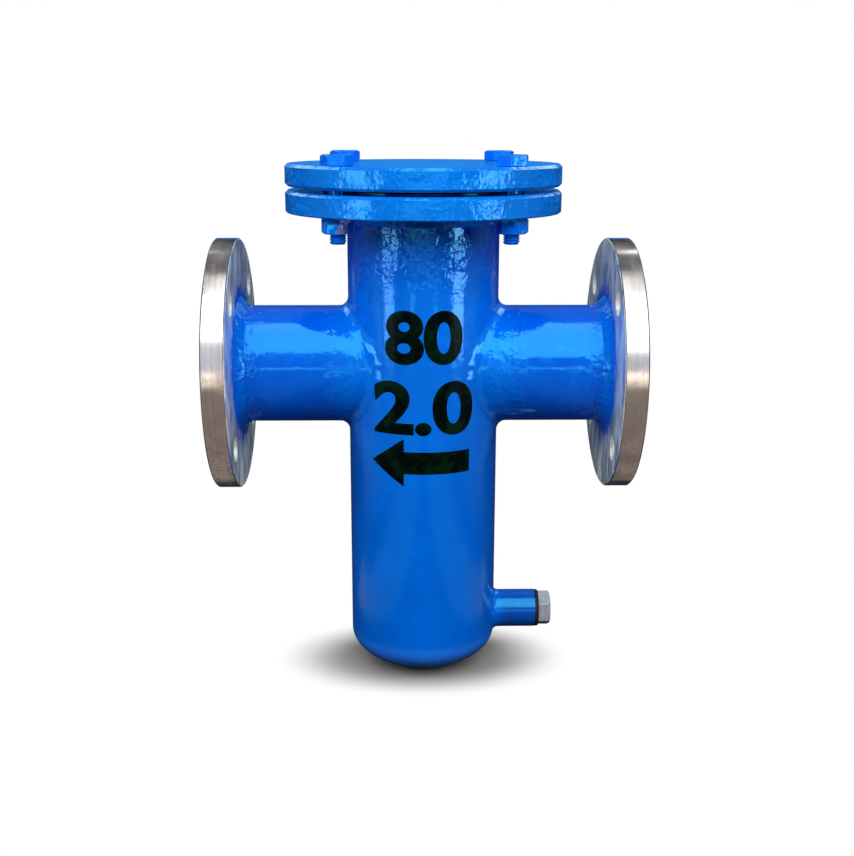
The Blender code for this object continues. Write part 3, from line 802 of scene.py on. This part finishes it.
def hexagon(name, flats, height, chamfer_low):
    """A hexagon prism with its corners turned off above, and below if asked."""
    corner = flats / math.sqrt(3.0)
    obj = new_piece(name, bpy.ops.mesh.primitive_cylinder_add, vertices=6, radius=corner, depth=height,
                    location=(0.0, 0.0, height / 2))
    place_in_mesh(obj)
    crown, edge = flats / 2 * HEX_CROWN, corner + SEAT_GAP
    bevel = (edge - crown) * math.tan(HEX_CHAMFER)
    foot = [(edge, bevel), (crown, 0.0), (0.0, 0.0)] if chamfer_low else [(edge, 0.0), (0.0, 0.0)]
    outline = [(0.0, height), (crown, height), (edge, height - bevel)] + foot
    combine(obj, spin_outline(f"{name}_blank", outline, HEX_STEPS), 'INTERSECT')
    return obj


def add_washer_face(obj, low, high):
    """Give a hexagon its round bearing face."""
    outline = [(0.0, high), (WASHER_FACE, high), (WASHER_FACE, low), (0.0, low)]
    combine(obj, spin_outline("washer_face", outline, HEX_STEPS), 'UNION')


def copy_to(source, name, place, turn):
    """A copy with its own mesh, turned and moved to its place."""
    only(source)
    bpy.ops.object.duplicate()
    obj = bpy.context.object
    obj.name = obj.data.name = name
    place_in_mesh(obj, place, (0.0, 0.0, math.radians(turn)))
    return obj


def fastener_finish():
    """The body's enamel on zinc plate, with bare patches on the nuts."""
    material, shader, where = principled("fastener_enamel")
    along = stretched(where, (1.0, 1.0, 0.12))
    zinc = bare_metal(where, along, ZINC, ZINC_DULL, NUT_DIRT, 0.35, 0.30, 0.00002)
    film = enamel_coat(shader, where, PAINT, 0.0006, 0.14)
    z = axes(where)[2]
    on_nut = z.ramp(cover_low.z, flange_low.z) * z.ramp(nut_low.z - 0.0005, nut_low.z)
    bare = on_nut * cloud(where, 0.011, 3.0, 0.6).ramp(0.53, 0.58, 0.0, 0.8)
    feed(shader, bare.mix(film[0], zinc[0]), bare.mix(film[1], zinc[1]), film[2] + zinc[2], bare)
    return material


def zinc_finish():
    """Bare zinc plate, streaked along the flats, with a little dirt."""
    material, shader, where = principled("zinc_plate")
    along = stretched(where, (1.0, 1.0, 0.10))
    feed(shader, *bare_metal(where, along, ZINC, ZINC_DULL, PLUG_DIRT, 0.40, 0.34, 0.00003))
    shader.inputs["Metallic"].default_value = 0.6
    return material


bolt_low, bolt_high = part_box("cover_bolt_front_left")
nut_low, nut_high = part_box("cover_nut_front_left")
fastener_enamel = fastener_finish()
zinc_plate = zinc_finish()
head_seat = cover_high.z + SEAT_GAP
bolt_length = head_seat - bolt_low.z
head_height = bolt_high.z - head_seat

bolt = hexagon("bolt_pattern", HEX_FLATS, head_height, False)
finish_edges(bolt, HEX_EDGE, 25.0)
add_washer_face(bolt, -SEAT_GAP, WASHER_SINK)
rod = threaded_rod("rod", BOLT_RADIUS, head_height / 2, -bolt_length, THREAD_LENGTH - bolt_length)
combine(bolt, rod, 'UNION')

nut_height = nut_high.z - nut_low.z
nut = hexagon("nut_pattern", HEX_FLATS, nut_height, True)
add_washer_face(nut, nut_height - WASHER_SINK, nut_height + SEAT_GAP)
drill(nut, (0.0, 0.0, nut_height / 2), BOLT_RADIUS + 0.0001, nut_height * 2)
finish_edges(nut, HEX_EDGE, 25.0)

for corner, place in bolt_places.items():
    cover_bolt = copy_to(bolt, f"bolt_{corner}", (place.x, place.y, head_seat), HEAD_TURNS[corner])
    finish_edges(cover_bolt, 0.0, 30.0)
    dress(cover_bolt, fastener_enamel)
    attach(cover_bolt, f"bolt_{corner}")
    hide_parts(f"cover_bolt_{corner}")
    cover_nut = copy_to(nut, f"nut_{corner}", (place.x, place.y, nut_low.z), NUT_TURNS[corner])
    dress(cover_nut, fastener_enamel)
    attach(cover_nut, f"nut_{corner}")
    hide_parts(f"cover_nut_{corner}")
for pattern in (bolt, nut):
    bpy.data.objects.remove(pattern, do_unlink=True)


# Drain plug and seal: a zinc-plated hexagon plug screwed into the stub, on a black rubber ring. It was
# fitted after painting, so it is bare.
PLUG_INSET = 0.0025
PLUG_TURN = 28.0
PLUG_EDGE = 0.0006
PLUG_THREAD_START = -0.0015
SEAL_BULGE = 0.0004
RUBBER = (0.005, 0.006, 0.008, 1.0)
DUST = (0.02, 0.02, 0.024, 1.0)


def rubber(name, colour, size):
    """Matt black rubber or fibre with a fine dusty grain."""
    material, shader, where = principled(name)
    grain = cloud(where, size, 4.0)
    dust = cloud(where, 0.008, 4.0).ramp(0.45, 0.75, 0.0, 0.5)
    feed(shader, dust.mix(colour, DUST), grain.ramp(0.3, 0.7, 0.5, 0.75), grain * 0.00004)
    shader.inputs["IOR"].default_value = 1.3
    return material


seal_rubber = rubber("seal_rubber", RUBBER, 0.0006)
plug_low, plug_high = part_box("drain_plug")
head_x = seal_high.x + SEAT_GAP
seal_outer = (seal_high.z - seal_low.z) / 2
seal_thickness = head_x - drain_end
seal_ring = spin_outline("seal_ring", [
    (seal_outer, 0.0), (seal_outer + SEAL_BULGE, seal_thickness / 2), (seal_outer, seal_thickness),
    (drain_bore, seal_thickness), (drain_bore, 0.0)], DRAIN_STEPS)
place_in_mesh(seal_ring, (drain_end, 0.0, drain_z), ALONG_X)
finish_edges(seal_ring, 0.0004, 20.0)
dress(seal_ring, seal_rubber)
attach(seal_ring, "drain_seal")
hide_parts("drain_seal")

plug_head = plug_high.x - head_x
plug = hexagon("plug", (DRAIN_RADIUS - PLUG_INSET) * 2, plug_head, False)
finish_edges(plug, PLUG_EDGE, 25.0)
shank = threaded_rod("shank", drain_bore - SEAT_GAP, plug_head / 2, plug_low.x - head_x,
                     PLUG_THREAD_START, HEX_STEPS)
combine(plug, shank, 'UNION')
plug.data.transform(Matrix.Rotation(math.radians(PLUG_TURN), 4, 'Z'))
place_in_mesh(plug, (head_x, 0.0, drain_z), ALONG_X)
finish_edges(plug, 0.0, 30.0)
dress(plug, zinc_plate)
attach(plug, "drain_plug")
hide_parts("drain_plug")


# Cover gasket: a ring of dark compressed fibre sheet, nipped between the two plates' raised faces. It
# reaches out to their edge, and its bore is a little wider than the barrel.
GASKET_SETBACK = 0.001

gasket_low, gasket_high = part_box("cover_gasket")
gasket_bore = barrel_radius + GASKET_SETBACK
gasket_top, gasket_foot = gasket_high.z + SEAT_GAP, gasket_low.z - SEAT_GAP
gasket_fibre = rubber("gasket_fibre", DUST, 0.0010)
gasket_ring = spin_outline("gasket_ring", [
    (RAISED_RADIUS, gasket_top), (RAISED_RADIUS, gasket_foot), (gasket_bore, gasket_foot),
    (gasket_bore, gasket_top)], PLATE_STEPS)
finish_edges(gasket_ring, 0.0002)
dress(gasket_ring, gasket_fibre)
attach(gasket_ring, "body")
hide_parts("cover_gasket")


# Basket: a rolled and perforated stainless sheet with a slanted rim, a dished bottom and a rod handle.
# The rim rests on a slanted ring welded into the barrel, so that the water has to pass the screen.
SEAT_SLOPE = 0.9179
SEAT_THICKNESS = 0.0050
RIM_CLEARANCE = 0.0010
RIM_THICKNESS = 0.0030
SCREEN_SHEET = 0.0012
COLLAR_WALL = 0.0012
COLLAR_DEPTH = 0.0120
DISH_SHEET = 0.0015
HOLE_COLUMNS = 44
HOLE_SHARE = 0.60
CELL_MERGE = 0.00002
HANDLE_STEPS = 40
HANDLE_ROD = 0.0030
SHEET_STEEL = (0.62, 0.615, 0.60, 1.0)
SHEET_DULL = (0.42, 0.42, 0.41, 1.0)
WATER_TRACE = (0.24, 0.17, 0.11, 1.0)

screen_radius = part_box("basket_screen")[1].y
dish_low, dish_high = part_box("basket_bottom")
collar_radius = dish_high.y


def slant(obj):
    """Tilt a level ring to the seat's plane and keep its walls upright."""
    for vertex in obj.data.vertices:
        vertex.co.z -= SEAT_SLOPE * vertex.co.x


seat_bore = screen_radius + RIM_CLEARANCE
seat_ring = spin_outline("seat_ring", [
    (barrel_inside, 0.0), (barrel_inside, -SEAT_THICKNESS), (seat_bore, -SEAT_THICKNESS), (seat_bore, 0.0)])
slant(seat_ring)
finish_edges(seat_ring, 0.0004)

rim_radius = barrel_inside - RIM_CLEARANCE
rim_top, collar_foot = SEAT_GAP + RIM_THICKNESS, SEAT_GAP - COLLAR_DEPTH
collar_inside = collar_radius - COLLAR_WALL
rim_ring = spin_outline("rim_ring", [
    (rim_radius, rim_top), (rim_radius, SEAT_GAP), (collar_radius, SEAT_GAP), (collar_radius, collar_foot),
    (collar_inside, collar_foot), (collar_inside, rim_top)])
slant(rim_ring)
finish_edges(rim_ring, 0.0003)

dish_inside, dish_floor = collar_radius - DISH_SHEET, dish_low.z + DISH_SHEET
dish = spin_outline("dish", [
    (0.0, dish_floor), (dish_inside - DISH_SHEET, dish_floor), (dish_inside, dish_floor + DISH_SHEET),
    (dish_inside, dish_high.z), (collar_radius, dish_high.z), (collar_radius, dish_floor),
    (dish_inside, dish_low.z), (0.0, dish_low.z)])
finish_edges(dish, 0.0003)


def perforated_screen():
    """Staggered six-sided cells with a round hole each, rolled to a cylinder and cut along the seat."""
    pitch = 2 * math.pi * screen_radius / HOLE_COLUMNS
    corner = pitch / math.sqrt(3.0)
    rise = corner * 1.5
    hole_size = corner * HOLE_SHARE
    rows = math.ceil((SEAT_SLOPE * screen_radius - dish_low.z) / rise) + 2
    mesh = bmesh.new()

    def points(middle, height, size, count):
        """Points round a middle, which is given as a turn about Z and a height."""
        made = []
        for k in range(count):
            angle = math.pi / 6 + 2 * math.pi / count * k
            turn = middle + size * math.cos(angle) / screen_radius
            made.append(mesh.verts.new((screen_radius * math.cos(turn), screen_radius * math.sin(turn),
                                        height + size * math.sin(angle))))
        return made

    for row in range(rows):
        height = dish_low.z + row * rise
        for column in range(HOLE_COLUMNS):
            middle = (column + 0.5 * (row % 2)) * 2 * math.pi / HOLE_COLUMNS
            border = points(middle, height, corner, 6)
            seat = -SEAT_SLOPE * screen_radius * math.cos(middle)
            if dish_high.z + corner < height < seat - COLLAR_DEPTH - rise:
                hole = points(middle, height, hole_size, 12)
                for k in range(6):
                    a, b, c = hole[2 * k], hole[2 * k + 1], hole[(2 * k + 2) % 12]
                    mesh.faces.new((border[k], border[(k + 1) % 6], c, b, a))
            else:
                mesh.faces.new(border)
    bmesh.ops.remove_doubles(mesh, verts=mesh.verts, dist=CELL_MERGE)
    for height, normal in ((dish_low.z, (0.0, 0.0, -1.0)), (0.0, (SEAT_SLOPE, 0.0, 1.0))):
        bmesh.ops.bisect_plane(mesh, geom=mesh.verts[:] + mesh.edges[:] + mesh.faces[:], dist=DOUBLES,
                               plane_co=(0.0, 0.0, height), plane_no=normal, clear_outer=True)
    bmesh.ops.recalc_face_normals(mesh, faces=mesh.faces)
    data = bpy.data.meshes.new("screen")
    mesh.to_mesh(data)
    mesh.free()
    obj = bpy.data.objects.new("screen", data)
    bpy.context.scene.collection.objects.link(obj)
    sheet = obj.modifiers.new("Sheet", 'SOLIDIFY')
    sheet.thickness, sheet.offset = SCREEN_SHEET, -1.0
    apply_modifiers(obj)
    return obj


screen = perforated_screen()
finish_edges(screen, 0.0, 40.0)

handle_low, handle_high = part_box("basket_handle")
arch = handle_high.y - HANDLE_ROD
spring = handle_high.z - HANDLE_ROD - arch
handle = new_piece("handle", bpy.ops.mesh.primitive_circle_add, vertices=20, radius=HANDLE_ROD,
                   fill_type='NGON', location=(0.0, -arch, handle_low.z))
place_in_mesh(handle)
bpy.ops.object.mode_set(mode='EDIT')
bpy.ops.mesh.select_all(action='SELECT')
bpy.ops.mesh.extrude_region_move(TRANSFORM_OT_translate={"value": (0.0, 0.0, spring - handle_low.z)})
bpy.ops.mesh.spin(steps=HANDLE_STEPS, angle=math.pi, center=(0.0, 0.0, spring), axis=(1.0, 0.0, 0.0))
bpy.ops.mesh.extrude_region_move(TRANSFORM_OT_translate={"value": (0.0, 0.0, handle_low.z - spring)})
bpy.ops.object.mode_set(mode='OBJECT')
close_mesh(handle)
finish_edges(handle, 0.0004, 50.0)


def stainless_finish():
    """Mill-finish stainless steel, faintly grained, with tea-coloured traces of water."""
    material, shader, where = principled("stainless_sheet")
    along = stretched(where, (1.0, 1.0, 0.10))
    feed(shader, *bare_metal(where, along, SHEET_STEEL, SHEET_DULL, WATER_TRACE, 0.25, 0.26, 0.00002))
    shader.inputs["Metallic"].default_value = 1.0
    return material


stainless = stainless_finish()
for piece, node, body in (
        (seat_ring, "basket_seat", "body"), (rim_ring, "basket_rim", "basket"),
        (dish, "basket_bottom", "basket"), (screen, "basket_screen", "basket"),
        (handle, "basket_handle", "basket")):
    dress(piece, stainless)
    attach(piece, body)
    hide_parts(node)


# Markings: plain numbers and the flow arrow, sprayed through a stencil round the front of the barrel in
# dark green-black paint. The arrow points to the outlet.
MARK_FILM = 0.00016
MARK_CUTS = 0.0015
MARK_MERGE = 0.00001
DIGIT_WEIGHT = 0.035
STENCIL = (0.0004, 0.0012, 0.0022, 1.0)
STENCIL_THIN = (0.0004, 0.0110, 0.0030, 1.0)
STENCIL_SHEEN_TINT = (0.2, 1.0, 0.6, 1.0)
ARROW_TIP_X = -0.0422
ARROW_BARB_X = -0.0154
ARROW_END_X = 0.0358
ARROW_MIDDLE_Z = -0.0647
ARROW_BARB = 0.0184
ARROW_SHAFT = 0.0085


def stencil_finish():
    """Dark green-black paint, greener where it is thin."""
    material, shader, where = principled("stencil_paint")
    thin = cloud(where, 0.010, 4.0).ramp(0.42, 0.66)
    feed(shader, thin.mix(STENCIL, STENCIL_THIN), thin.ramp(0.0, 1.0, 0.22, 0.34),
         cloud(where, 0.0036, 2.0) * 0.00006)
    shader.inputs["IOR"].default_value = 1.18
    shader.inputs["Specular Tint"].default_value = STENCIL_SHEEN_TINT
    return material


stencil_paint = stencil_finish()
painted_pipes = []
for pipe in [barrel_pipe] + nozzle_pipes:
    corners = [v.co for v in pipe.data.vertices]
    painted_pipes.append(BVHTree.FromPolygons(corners, [f.vertices for f in pipe.data.polygons]))


def painted_radius(angle, z):
    """How far the paint lies from the barrel's axis, on the barrel or on a nozzle's fillet."""
    outward = Vector((math.sin(angle), -math.cos(angle), 0.0))
    start = outward * barrel_radius * 1.5 + Vector((0.0, 0.0, z))
    hits = [pipe.ray_cast(start, -outward)[0] for pipe in painted_pipes]
    return max(hit.xy.length for hit in hits if hit)


def wrap_round_barrel(obj):
    """Cut a flat mark into small squares, give it thickness and wrap it round the barrel's front."""
    only(obj)
    bpy.ops.object.mode_set(mode='EDIT')
    for normal in (Vector((1.0, 0.0, 0.0)), Vector((0.0, 0.0, 1.0))):
        obj.update_from_editmode()
        reach = [v.co.dot(normal) for v in obj.data.vertices]
        for i in range(1, int((max(reach) - min(reach)) / MARK_CUTS)):
            bpy.ops.mesh.select_all(action='SELECT')
            bpy.ops.mesh.bisect(plane_co=normal * (min(reach) + i * MARK_CUTS), plane_no=normal)
    bpy.ops.mesh.select_all(action='SELECT')
    bpy.ops.mesh.remove_doubles(threshold=MARK_MERGE)
    bpy.ops.object.mode_set(mode='OBJECT')
    sheet = obj.modifiers.new("Film", 'SOLIDIFY')
    sheet.thickness, sheet.offset = MARK_FILM, 0.0
    apply_modifiers(obj)
    for vertex in obj.data.vertices:
        angle = vertex.co.x / barrel_radius
        radius = painted_radius(angle, vertex.co.z) - vertex.co.y
        vertex.co = (radius * math.sin(angle), -radius * math.cos(angle), vertex.co.z)
    close_mesh(obj)
    finish_edges(obj, 0.0, 60.0)
    dress(obj, stencil_paint)
    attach(obj, "body")


def number_mark(name, digits, left, right, low, high):
    """Plain digits set flat in the XZ plane, fitted between the given edges and sprayed on."""
    bpy.ops.object.select_all(action='DESELECT')
    bpy.ops.object.text_add(rotation=(math.pi / 2, 0.0, 0.0))
    obj = bpy.context.object
    obj.name = name
    obj.data.body, obj.data.offset, obj.data.resolution_u = digits, DIGIT_WEIGHT, 8
    bpy.ops.object.convert(target='MESH')
    place_in_mesh(obj)
    xs = [v.co.x for v in obj.data.vertices]
    zs = [v.co.z for v in obj.data.vertices]
    for vertex in obj.data.vertices:
        vertex.co.x = left + (vertex.co.x - min(xs)) / (max(xs) - min(xs)) * (right - left)
        vertex.co.z = low + (vertex.co.z - min(zs)) / (max(zs) - min(zs)) * (high - low)
    wrap_round_barrel(obj)


number_mark("upper_number", "80", -0.0300, 0.0290, 0.0092, 0.0490)
number_mark("lower_number", "2.0", -0.0400, 0.0385, -0.0436, -0.0030)

flow_arrow = new_piece("flow_arrow", bpy.ops.mesh.primitive_circle_add, vertices=7, radius=0.01,
                       fill_type='NGON', rotation=(math.pi / 2, 0.0, 0.0))
place_in_mesh(flow_arrow)
arrow_corners = [
    (ARROW_TIP_X, 0.0), (ARROW_BARB_X, -ARROW_BARB), (ARROW_BARB_X, -ARROW_SHAFT),
    (ARROW_END_X, -ARROW_SHAFT), (ARROW_END_X, ARROW_SHAFT), (ARROW_BARB_X, ARROW_SHAFT),
    (ARROW_BARB_X, ARROW_BARB)]
for vertex, (x, z) in zip(flow_arrow.data.vertices, arrow_corners):
    vertex.co = (x, 0.0, ARROW_MIDDLE_Z + z)
wrap_round_barrel(flow_arrow)


# Studio: a floor just under the head, white but for a painted grey shadow round it, lit by one great
# softbox that leans over the front, as the sky does at an open gate. Cards all round give bright metal and
# gloss paint something to mirror.
FLOOR_Z = cad_box[0].z
FLOOR_HALF = 6.0
# The floor's dark grey below is a painted shadow round the head, on top of the lamps' real one.
FLOOR_PAINTED_SHADOW = (0.34, 0.33, 0.31, 1.0)
FLOOR_UNSEEN = (0.045, 0.045, 0.045, 1.0)
SHADOW_WEIGHTS = (1.0, 1.6, 0.0)
SHADOW_EDGE = (0.058, 0.122)
WHITE = (1.0, 1.0, 1.0, 1.0)
WORLD_UNSEEN = (0.04, 0.04, 0.045, 1.0)
CAMERA_PLACE = (-0.01585, -0.90395, 0.18016)
CAMERA_TURN = (75.5958, -0.1165, -1.1676)
CAMERA_LENS = 50.143
CARD_DISTANCE = 4.0
CARD_MIDDLE_X = 0.0175
BESIDE = (0.185, 0.205)
SKY = (3.3, 3.3, 3.3, 1.0)
SKY_FOOT_LEFT = 31.0
SKY_FOOT_RIGHT = 21.0
SKY_TOP = (98.0, 92.0)
SKY_LEAN = 22.9
SKY_SIDES = (0.72, 0.60)
HAZE = (0.34, 0.28, 0.40, 1.0)
HAZE_BESIDE = (1.35, 1.50, 1.60, 1.0)
HORIZON = (0.58, 0.42, 0.55, 1.0)
HORIZON_BESIDE = (0.80, 0.68, 0.50, 1.0)
GROUND = (0.42, 0.345, 0.30, 1.0)
GROUND_DARK = (0.22, 0.18, 0.165, 1.0)
GROUND_ASIDE = (0.016, 0.023, 0.045, 1.0)
SIDE_LOW = (0.22, 0.205, 0.20, 1.0)
SIDE_HIGH = (0.50, 0.51, 0.54, 1.0)
CEILING = (0.22, 0.21, 0.21, 1.0)
CEILING_DARK = (0.14, 0.135, 0.14, 1.0)
BEHIND = (0.016, 0.023, 0.045, 1.0)
BEHIND_LOW = (0.04, 0.28, 0.72, 1.0)
STRIP_DISTANCE = 1.25
BACK_DISTANCE = 1.3
OUTER_TINT = (1.5, 0.56, 1.0)
INNER_TINT = (1.0, 0.88, 0.66)
UPPER_TINT = (0.95, 0.96, 1.0)
MIDDLE = (0.0, 0.0, 0.0)


def pale_rays(tree):
    """1 for the rays that see the pale background: camera, glossy and transmission rays."""
    path = tree.nodes.new('ShaderNodeLightPath').outputs
    camera, glossy, through = [Pattern(path[f"Is {ray} Ray"]) for ray in ("Camera", "Glossy", "Transmission")]
    return camera.most(glossy).most(through)


floor = new_piece("floor", bpy.ops.mesh.primitive_plane_add, size=2 * FLOOR_HALF,
                  location=(0.0, 0.0, FLOOR_Z))
place_in_mesh(floor)
floor_material, shader, where = principled("pale_floor")
tree = where.tree
seen = pale_rays(tree)
past_shadow = distance(where, SHADOW_WEIGHTS).ramp(*SHADOW_EDGE) * seen
# Inside the shadow's edge the floor is painted dark grey, a painted shadow; past it the floor shows plain
# white.
feed(shader, seen.mix(FLOOR_UNSEEN, FLOOR_PAINTED_SHADOW))
shader.inputs["Roughness"].default_value = 0.9
shader.inputs["Specular IOR Level"].default_value = 0.0
white = add_node(tree, 'ShaderNodeEmission', {"Color": WHITE, "Strength": 1.0})[0]
blend = add_node(tree, 'ShaderNodeMixShader', {0: past_shadow, 1: Pattern(shader.outputs[0]), 2: white})[0]
tree.links.new(blend.socket, tree.nodes["Material Output"].inputs["Surface"])
floor.data.materials.append(floor_material)

world = bpy.data.worlds.new("studio")
bpy.context.scene.world = world
world.use_nodes = True
tree = world.node_tree
backdrop = tree.nodes["Background"]
tree.links.new(pale_rays(tree).mix(WORLD_UNSEEN, WHITE).socket, backdrop.inputs["Color"])
backdrop.inputs["Strength"].default_value = 1.0


def card_light(where):
    """What the cards show: ground below, a bright horizon and the sky in front, dimness behind.

    The rise of a direction and its turn over the front are in degrees, the rest in shares or metres.
    """
    x, y, z = axes(add_node(where.tree, 'ShaderNodeVectorMath', {0: where}, operation='NORMALIZE')[0])
    rise = sums('ARCSINE', z) * math.degrees(1.0)
    over = sums('ARCTAN2', z, y * -1.0) * math.degrees(1.0)
    aside = abs(x)
    beside = abs(x - CARD_MIDDLE_X).ramp(*BESIDE)
    patches = cloud(where, 0.9, 3.0)

    east, north, up = axes(where)
    east = abs(east)
    lane = (east - abs(north) * 0.3).ramp(0.30, 0.22) * north.ramp(0.10, 0.05)
    lane = lane * (north * -0.15 + east).ramp(0.135, 0.175)
    far_aside = east.ramp(0.35, 0.60) * sums('DIVIDE', north, east).ramp(0.35, 0.10)
    ground = lane.mix(far_aside.mix(GROUND_ASIDE, SIDE_LOW), patches.mix(GROUND_DARK, GROUND))

    ceiling = patches.mix(CEILING_DARK, CEILING)
    low = (beside * 3.0 + rise).ramp(-2.6, -1.6).mix(ground, beside.mix(HORIZON, HORIZON_BESIDE))
    low = rise.ramp(2.0, 6.0).mix(low, beside.mix(HAZE, HAZE_BESIDE))
    line = abs(rise).ramp(1.8, 1.2) * beside.ramp(1.0, 0.0, 0.2, 5.5)
    low = rise.ramp(55.0, 65.0).mix(low.scaled(line + 1.0), ceiling)

    glow = rise.ramp(-0.5, 1.0) * rise.ramp(16.0, 8.0) * y.ramp(0.1, 0.3)
    level = aside.ramp(0.78, 0.92) * y.ramp(0.30, 0.12) * rise.ramp(-3.0, 0.0)
    behind = glow.mix(rise.ramp(-1.0, -3.0).mix(BEHIND, ground), BEHIND_LOW)
    behind = rise.ramp(15.0, 35.0).mix(behind, ceiling)
    behind = level.mix(behind, rise.ramp(6.0, 16.0).mix(SIDE_LOW, SIDE_HIGH))

    front = aside.ramp(0.34, 0.24) * y.ramp(0.02, -0.02)
    foot = over - x.ramp(-0.03, 0.03, SKY_FOOT_LEFT, SKY_FOOT_RIGHT)
    sky = foot.ramp(-1.5, 1.5) * (beside * SKY_LEAN + over).ramp(*SKY_TOP) * aside.ramp(*SKY_SIDES)
    return sky.mix(front.mix(behind, low), SKY)


cards = new_piece("cards", bpy.ops.mesh.primitive_uv_sphere_add, segments=64, ring_count=32,
                  radius=CARD_DISTANCE)
bpy.ops.object.mode_set(mode='EDIT')
bpy.ops.mesh.select_all(action='SELECT')
bpy.ops.mesh.bisect(plane_co=(0.0, 0.0, FLOOR_Z + 0.002), plane_no=(0.0, 0.0, 1.0), clear_inner=True,
                    use_fill=True)
bpy.ops.object.mode_set(mode='OBJECT')
card_material, shader, where = principled("cards")
tree = where.tree
glow = add_node(tree, 'ShaderNodeEmission', {"Color": card_light(where), "Strength": 1.0})[0]
tree.links.new(glow.socket, tree.nodes["Material Output"].inputs["Surface"])
cards.data.materials.append(card_material)
cards.visible_camera = cards.visible_diffuse = cards.visible_shadow = cards.visible_transmission = False


def softbox(name, place, target, width, height, radiance):
    """A rectangular lamp aimed at a point; its brightness is given as radiance."""
    data = bpy.data.lights.new(name, 'AREA')
    data.shape, data.size, data.size_y = 'RECTANGLE', width, height
    data.energy = math.pi * width * height * radiance
    obj = bpy.data.objects.new(name, data)
    bpy.context.scene.collection.objects.link(obj)
    obj.location = place
    obj.rotation_euler = (Vector(target) - Vector(place)).to_track_quat('-Z', 'Y').to_euler()
    obj.visible_camera = False
    return obj


def round_about(azimuth, away, height):
    """A place at a distance from the barrel's axis, in degrees from the front to the right."""
    angle = math.radians(azimuth)
    return Vector((away * math.sin(angle), -away * math.cos(angle), height))


for name, place, target, width, height, radiance in (
        ("sky", (0.0, -1.26, 0.99), MIDDLE, 1.6, 0.95, 5.8),
        ("above", (0.0, 0.30, 1.25), (0.0, 0.0, 0.15), 0.7, 0.5, 2.6),
        ("fill_left", (-1.05, -0.62, 0.50), MIDDLE, 0.8, 0.7, 2.1),
        ("fill_right", (1.05, -0.62, 0.50), MIDDLE, 0.8, 0.7, 2.1)):
    lamp = softbox(name, place, target, width, height, radiance)
    lamp.visible_glossy = False
for name, azimuth, width, low, high, radiance, tint in (
        ("outer_left", -52.0, 0.36, -0.20, 0.10, 6.0, OUTER_TINT),
        ("inner_left", -17.0, 0.12, -0.20, 0.06, 1.6, INNER_TINT),
        ("inner_right", 17.0, 0.12, -0.20, 0.06, 1.6, INNER_TINT),
        ("outer_right", 52.0, 0.38, -0.20, 0.10, 8.0, OUTER_TINT),
        ("upper_left", -52.0, 0.34, 0.10, 0.375, 4.2, UPPER_TINT),
        ("upper_right", 52.0, 0.34, 0.10, 0.375, 5.0, UPPER_TINT)):
    place = round_about(azimuth, STRIP_DISTANCE, (low + high) / 2)
    strip = softbox(name, place, (0.0, 0.0, place.z), width, high - low, radiance)
    strip.data.color = tint
    strip.visible_diffuse = False
for azimuth in (135.0, 225.0):
    softbox(f"back_{azimuth:.0f}", round_about(azimuth, BACK_DISTANCE, 1.0), MIDDLE, 0.9, 0.9, 2.4)

camera = bpy.data.objects.new("camera", bpy.data.cameras.new("camera"))
bpy.context.scene.collection.objects.link(camera)
camera.location = CAMERA_PLACE
camera.rotation_euler = [math.radians(a) for a in CAMERA_TURN]
camera.data.lens = CAMERA_LENS
bpy.context.scene.camera = camera
bpy.context.scene.view_settings.view_transform = 'Standard'
